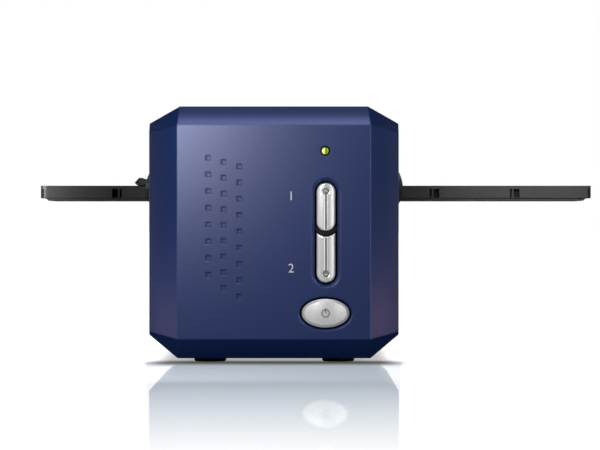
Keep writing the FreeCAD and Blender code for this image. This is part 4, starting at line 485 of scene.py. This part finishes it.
FINISHES = {
    "casing_blue": sprayed_metallic_paint, "inner_black": plain_black_abs,
    "holder_black": black_abs, "slot_grey": grey_abs, "door_grey": door_abs, "light_green": lit_acrylic,
    "foot_rubber": moulded_rubber, "circuit_board": solder_mask, "chip_black": moulded_epoxy,
    "steel": zinc_plated_steel, "die_cast": cast_aluminium, "bush_bronze": sintered_bronze,
    "gear_white": white_acetal, "mirror_glass": front_silvered_glass, "lens_glass": coated_glass,
    "lamp_white": opal_glass,
}


def dress_nodes():
    """Give every carried-over node the finish of its slot, and each button cap its own silver."""
    finishes = {slot: build() for slot, build in FINISHES.items()}
    for row in frame["record"]["subparts"]:
        name = row["node"]
        mesh = NODES[name].data
        mesh.materials.clear()
        mesh.materials.append(satin_silver_paint(name, *CAPS[name]) if name in CAPS
                              else finishes[row["material_slot"]])


# Printed numerals
def numeral(text, place, finish):
    """Thin printed character that stands on the front panel. Its place is the middle of its face."""
    name = "button_numeral_" + text
    curve = bpy.data.curves.new(name, "FONT")
    curve.body = text
    curve.size = NUMERAL_TALL * FONT_SIZE
    curve.align_x = "CENTER"
    curve.align_y = "CENTER"
    curve.extrude = INK_THICK / 2
    shown = bpy.data.objects.new(name, curve)
    bpy.context.collection.objects.link(shown)
    shown.matrix_world = Matrix.Translation(place) @ UPRIGHT.to_4x4()
    bpy.context.view_layer.update()
    mesh = bpy.data.meshes.new_from_object(shown.evaluated_get(bpy.context.evaluated_depsgraph_get()))
    mesh.transform(shown.matrix_world)
    bpy.data.objects.remove(shown)
    piece = bpy.data.objects.new(name, mesh)
    bpy.context.collection.objects.link(piece)
    mesh.materials.clear()
    mesh.materials.append(finish)
    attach(piece, "root")


def button_numerals():
    """Plain numbers where the photograph's buttons have their labels."""
    ink = pad_printed_ink()
    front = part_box("front_panel")[0].y
    for text, node_name, share in (("1", "scan_button_upper", 0.72), ("2", "scan_button_lower", 0.28)):
        low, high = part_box(node_name)
        numeral(text, Vector((low.x - NUMERAL_GAP, front - INK_THICK / 2, low.z + (high.z - low.z) * share)), ink)


# Table, studio, lamps and camera
def placed(name, corners, faces, made):
    """A staged mesh of the studio."""
    mesh = bpy.data.meshes.new(name)
    mesh.from_pydata(corners, [], faces)
    mesh.materials.append(made)
    shown = bpy.data.objects.new(name, mesh)
    bpy.context.collection.objects.link(shown)
    return shown


def floor():
    """White gloss table. Its white is a glow for the camera, and far off for metal and glass too.

    It keeps a painted shade where the scanner stands, over the real shadow there. At a grazing view it mirrors the
    scanner's face in front of it, and the table there is tinted pale blue as painted reflection.
    """
    made = bpy.data.materials.new("glossy_white_table")
    tree = emptied(made)
    path = add(tree, "ShaderNodeLightPath").outputs
    place = real_place(tree)
    split = add(tree, SPLIT, Vector=place).outputs
    across = add(tree, MATH, UNSIGNED, i0=split["X"])

    # Edges on the table, each as where it is outside and where it is inside
    shade_front, shade_back, shade_sides = (-0.196, -0.135), (-0.080, -0.128), (0.070, 0.048)
    far_off, behind = (0.25, 0.8), (-0.4, 0.2)
    face_edge, face_foot = (-0.0005, 0.0012), (-0.120, -0.150)
    corner_sides, corner_backs = (0.048, 0.060), (-0.132, -0.112)
    veil_edge, grazing_share = (0.3, 0.0), (0.45, 0.70)

    # Painted shade where the scanner stands: for the camera the glow is off there and the white is grey, over the
    # real shadow
    strip = within(tree, (split["Y"], *shade_front), (split["Y"], *shade_back), (across, *shade_sides))
    painted_contact_shade = add(tree, MATH, PRODUCT, i0=strip, i1=path["Is Camera Ray"])
    open_floor = add(tree, MATH, DIFFERENCE, i0=1.0, i1=painted_contact_shade)

    # Who sees the glow: the camera, and reflections and glass where the table is far off and behind the scanner
    away = add(tree, "ShaderNodeVectorMath", {"operation": "LENGTH"}, Vector=place)
    far_behind = within(tree, (away, *far_off), (split["Y"], *behind))
    through = add(tree, MATH, LARGER, i0=path["Is Glossy Ray"], i1=path["Is Transmission Ray"])
    mirrored = add(tree, MATH, PRODUCT, i0=far_behind, i1=through)
    seen = add(tree, MATH, LARGER, i0=path["Is Camera Ray"], i1=mirrored)
    seen_white = add(tree, MATH, PRODUCT, i0=seen, i1=open_floor)

    # The mirrored face: between two edges that run from the scanner's front towards the camera
    grazing = within(tree, (add(tree, "ShaderNodeFresnel", IOR=1.5), *grazing_share))
    face_end, face_start, half_wide = -1.0, -0.136, 0.0594
    end_left, end_right = 0.0264, 0.0374
    left, right = [add(tree, RAMP, Value=split["Y"], From_Min=face_end, From_Max=face_start, To_Min=end_reach,
                       To_Max=half_wide) for end_reach in (end_left, end_right)]
    from_left = add(tree, MATH, SUM, i0=split["X"], i1=left)
    from_right = add(tree, MATH, DIFFERENCE, i0=right, i1=split["X"])
    nearer = add(tree, MATH, SMALLER, i0=from_left, i1=from_right)
    before = add(tree, MATH, PRODUCT, i0=within(tree, (nearer, *face_edge)), i1=grazing)
    corners = within(tree, (across, *corner_sides), (split["Y"], *corner_backs))
    beside = add(tree, MATH, LARGER, i0=add(tree, MATH, DIFFERENCE, i0=1.0, i1=before), i1=corners)

    # The mirror fades towards the camera and ends under the scanner
    fade_end, fade_start, fade_power = -0.92, -0.27, 1.15
    fall = add(tree, RAMP, Value=split["Y"], From_Min=fade_end, From_Max=fade_start, To_Min=1.0, To_Max=0.0)
    fading = add(tree, MATH, {"operation": "POWER"}, i0=fall, i1=fade_power)
    kept = add(tree, MATH, DIFFERENCE, i0=1.0, i1=fading)
    mirror = add(tree, MATH, PRODUCT, i0=kept, i1=within(tree, (split["Y"], *face_foot)))
    mirror = add(tree, MATH, PRODUCT, i0=mirror, i1=before)

    # White paint, dark to reflections in front of the scanner so that it lays no veil on the lacquer
    veil = within(tree, (split["Y"], *veil_edge))
    unseen = add(tree, MATH, PRODUCT, i0=path["Is Glossy Ray"], i1=veil)
    # Painted reflection: where the face is mirrored, the white turns pale blue, over the real gloss
    white = add(tree, MIX, COLOURS, Factor=mirror, i6="E0E0E0", i7="D4DEEA")
    # Painted shade: the white turns grey in the strip where the scanner stands
    shaded = add(tree, MIX, COLOURS, Factor=painted_contact_shade, i6=white, i7="949494")
    matte = add(tree, "ShaderNodeBsdfDiffuse",
                Color=add(tree, MIX, COLOURS, Factor=unseen, i6=shaded, i7="181818"))

    # Levels of the glow: lowest in the mirrored face, whole beside it, and lower where the view isn't grazing
    steep_level, mirror_share, mirror_gain = 0.60, 0.52, 1.10
    end_y, end_level, start_y, start_level = -0.95, 0.62, -0.25, 0.43
    near = add(tree, RAMP, SMOOTH, Value=split["Y"], From_Min=end_y, From_Max=start_y, To_Min=end_level,
               To_Max=start_level)
    level = add(tree, RAMP, Value=beside, To_Min=near, To_Max=1.0)
    level = add(tree, RAMP, Value=grazing, To_Min=steep_level, To_Max=level)
    lift = add(tree, MATH, PRODUCT, i0=seen_white, i1=level)
    gain = add(tree, RAMP, SMOOTH, Value=mirror, To_Min=1.0, To_Max=mirror_gain)
    # Painted reflection: the glow turns pale blue too in the mirrored face
    glow = add(tree, "ShaderNodeEmission", Color=add(tree, MIX, COLOURS, Factor=mirror, i6="FFFFFF", i7="E9F7FF"),
               Strength=add(tree, MATH, PRODUCT, i0=lift, i1=gain))
    shine = add(tree, "ShaderNodeBsdfGlossy", Roughness=0.0,
                Color=add(tree, MIX, COLOURS, Factor=mirror, i6="FFFFFF", i7="FFFAF6"))
    gloss = add(tree, MATH, PRODUCT, i0=add(tree, MATH, PRODUCT, i0=mirror, i1=mirror_share), i1=open_floor)
    lit = add(tree, "ShaderNodeAddShader", i0=matte, i1=glow)
    add(tree, OUTPUT, Surface=add(tree, "ShaderNodeMixShader", Fac=gloss, i1=lit, i2=shine))

    reach = 30.0
    placed("table_top", [(-reach, -reach, 0), (reach, -reach, 0), (reach, reach, 0), (-reach, reach, 0)],
           [(0, 1, 2, 3)], made)


def studio_piece(name, corners, faces, made, shades):
    """Piece of the studio that the camera and soft light don't see."""
    shown = placed(name, corners, faces, made)
    shown.visible_camera = False
    shown.visible_diffuse = False
    shown.visible_transmission = False
    shown.visible_shadow = shades


def curtain():
    """Dark felt dome that only reflections see, with a soft panel at each side and overhead. Its back is open."""
    made = bpy.data.materials.new("studio_curtain_and_panels")
    tree = emptied(made)
    way = add(tree, "ShaderNodeVectorMath", {"operation": "NORMALIZE"}, Vector=real_place(tree))
    split = add(tree, SPLIT, Vector=way).outputs
    forward = add(tree, MATH, PRODUCT, i0=split["Y"], i1=-1.0)
    turn = add(tree, MATH, {"operation": "ARCTAN2"}, i0=split["X"], i1=forward)
    # Edges of the panels, each as where it is outside and where it is inside: those of the side panels as angles in
    # radians from straight ahead, and the others as shares of the dome's radius
    panels_turned, panel_near, panel_far, panel_top = 0.07, (0.35, 0.80), (1.02, 0.82), (0.80, 0.55)
    overhead_foot, overhead_back, overhead_sides = (0.82, 0.95), (0.28, -0.22), (0.42, 0.22)
    change_left, change_right = -0.1, 0.1
    side = add(tree, MATH, UNSIGNED, i0=add(tree, MATH, SUM, i0=turn, i1=panels_turned))
    panels = within(tree, (side, *panel_near), (side, *panel_far), (split["Z"], *panel_top))
    across = add(tree, MATH, UNSIGNED, i0=split["X"])
    overhead = within(tree, (split["Z"], *overhead_foot), (split["Y"], *overhead_back), (across, *overhead_sides))
    level = add(tree, RAMP, SMOOTH, Value=split["X"], From_Min=change_left, From_Max=change_right,
                To_Min=PANEL_LEVELS[0], To_Max=PANEL_LEVELS[1])
    light = add(tree, MATH, LARGER, i0=add(tree, MATH, PRODUCT, i0=panels, i1=level),
                i1=add(tree, MATH, PRODUCT, i0=overhead, i1=OVERHEAD_LEVEL))
    felt = add(tree, "ShaderNodeEmission", Color=add(tree, MIX, COLOURS, Factor=overhead, i6="FFFFFF", i7="D6E0FF"),
               Strength=add(tree, MATH, SUM, i0=light, i1=FELT_LEVEL))
    add(tree, OUTPUT, Surface=felt)

    # Dome of quads from just under the table to overhead, whose steps start and end at the back
    around, up, radius = 48, 12, 2.6
    lowest, sweep, back = -2, 92, 90
    open_rows, open_steps = 4, 4
    corners, faces = [], []
    for row in range(up + 1):
        rise = math.radians(lowest + sweep * row / up)
        for step in range(around + 1):
            heading = math.radians(back + 360 * step / around)
            corners.append((radius * math.cos(rise) * math.cos(heading),
                            radius * math.cos(rise) * math.sin(heading), radius * math.sin(rise)))
    for row in range(up):
        for step in range(around):
            if row < open_rows and (step < open_steps or step >= around - open_steps):
                continue
            first = row * (around + 1) + step
            faces.append((first, first + 1, first + around + 2, first + around + 1))
    studio_piece("curtain", corners, faces, made, False)


def flags():
    """Black cards: a small one keeps the near softbox off the holder, and a large one lies over the roof."""
    made = bpy.data.materials.new("black_card")
    tree = emptied(made)
    nap_size = 2 * MM
    nap = add(tree, NOISE, Vector=real_place(tree), Scale=1 / nap_size)
    card = add(tree, "ShaderNodeBsdfDiffuse", Color=add(tree, MIX, COLOURS, Factor=nap, i6="101010", i7="181818"))
    add(tree, OUTPUT, Surface=card)
    card_y, left, right, bottom, top = -0.170, -0.112, -0.061, 0.072, 0.135
    corners = [(x, card_y, z) for x, z in ((left, bottom), (right, bottom), (right, top), (left, top))]
    studio_piece("black_card", corners, [(0, 1, 2, 3)], made, True)
    roof_z, half_wide, near, far = 0.1205, 0.057, -0.119, 0.136
    corners = [(x, y, roof_z) for x, y in ((-half_wide, near), (half_wide, near), (half_wide, far),
                                           (-half_wide, far))]
    studio_piece("roof_card", corners, [(0, 1, 2, 3)], made, False)


def surroundings():
    """Studio that reads as white where the camera, a metal or a glass sees it, and lights things plainly."""
    world = bpy.data.worlds.new("studio")
    bpy.context.scene.world = world
    tree = emptied(world)
    path = add(tree, "ShaderNodeLightPath").outputs
    through = add(tree, MATH, LARGER, i0=path["Is Glossy Ray"], i1=path["Is Transmission Ray"])
    seen = add(tree, MATH, LARGER, i0=path["Is Camera Ray"], i1=through)
    light = add(tree, "ShaderNodeBackground", Color="FFFFFF",
                Strength=add(tree, RAMP, Value=seen, To_Min=SKY_LEVEL, To_Max=1.0))
    add(tree, "ShaderNodeOutputWorld", Surface=light)


# Lamps: name, place, what it points at, width, height, watts, colour, and the angle that its grid lets through
LAMPS = (
    ("softbox_upper_left", (-0.091, -0.375, 0.165), (-0.091, 0.0, 0.165), 0.12, 0.14, 0.44, "FFFFFF", 180),
    ("strip_left", (-0.22, -0.17, 0.012), (-0.05, -0.125, 0.02), 0.10, 0.02, 0.010, "FFD8E4", 180),
    ("strip_right", (0.24, -0.17, 0.012), (0.05, -0.125, 0.02), 0.10, 0.02, 0.013, "FFD0D4", 180),
    ("holder_left", (-0.137, -0.116, 0.086), (-0.110, -0.089, 0.079), 0.02, 0.02, 0.0075, "FFFFFF", 80),
    ("holder_right", (0.135, -0.20, 0.17), (0.125, -0.089, 0.079), 0.06, 0.02, 0.018, "FFFFFF", 50),
)


def lights():
    """Hang the lamps, unseen by the camera."""
    for name, place, target, wide, tall, watts, colour, spread in LAMPS:
        data = bpy.data.lights.new(name, "AREA")
        data.shape = "RECTANGLE"
        data.size, data.size_y = wide, tall
        data.energy = watts
        data.color = linear(colour)[:3]
        data.spread = math.radians(spread)
        shown = bpy.data.objects.new(name, data)
        bpy.context.collection.objects.link(shown)
        shown.location = place
        shown.rotation_mode = "QUATERNION"
        shown.rotation_quaternion = (Vector(target) - Vector(place)).to_track_quat("-Z", "Y")
        shown.visible_camera = False


def camera():
    """The photograph's camera."""
    data = bpy.data.cameras.new("camera")
    data.sensor_width = SENSOR_WIDE
    data.lens = FOCAL_PIXELS / IMAGE_WIDE * SENSOR_WIDE
    data.clip_end = FARTHEST_SEEN
    shown = bpy.data.objects.new("camera", data)
    bpy.context.collection.objects.link(shown)
    shown.location = CAMERA_PLACE
    shown.rotation_euler = (math.radians(90), 0, 0)
    bpy.context.scene.camera = shown


dress_nodes()
button_numerals()
floor()
curtain()
flags()
surroundings()
lights()
camera()
bpy.context.scene.view_settings.view_transform = "Standard"
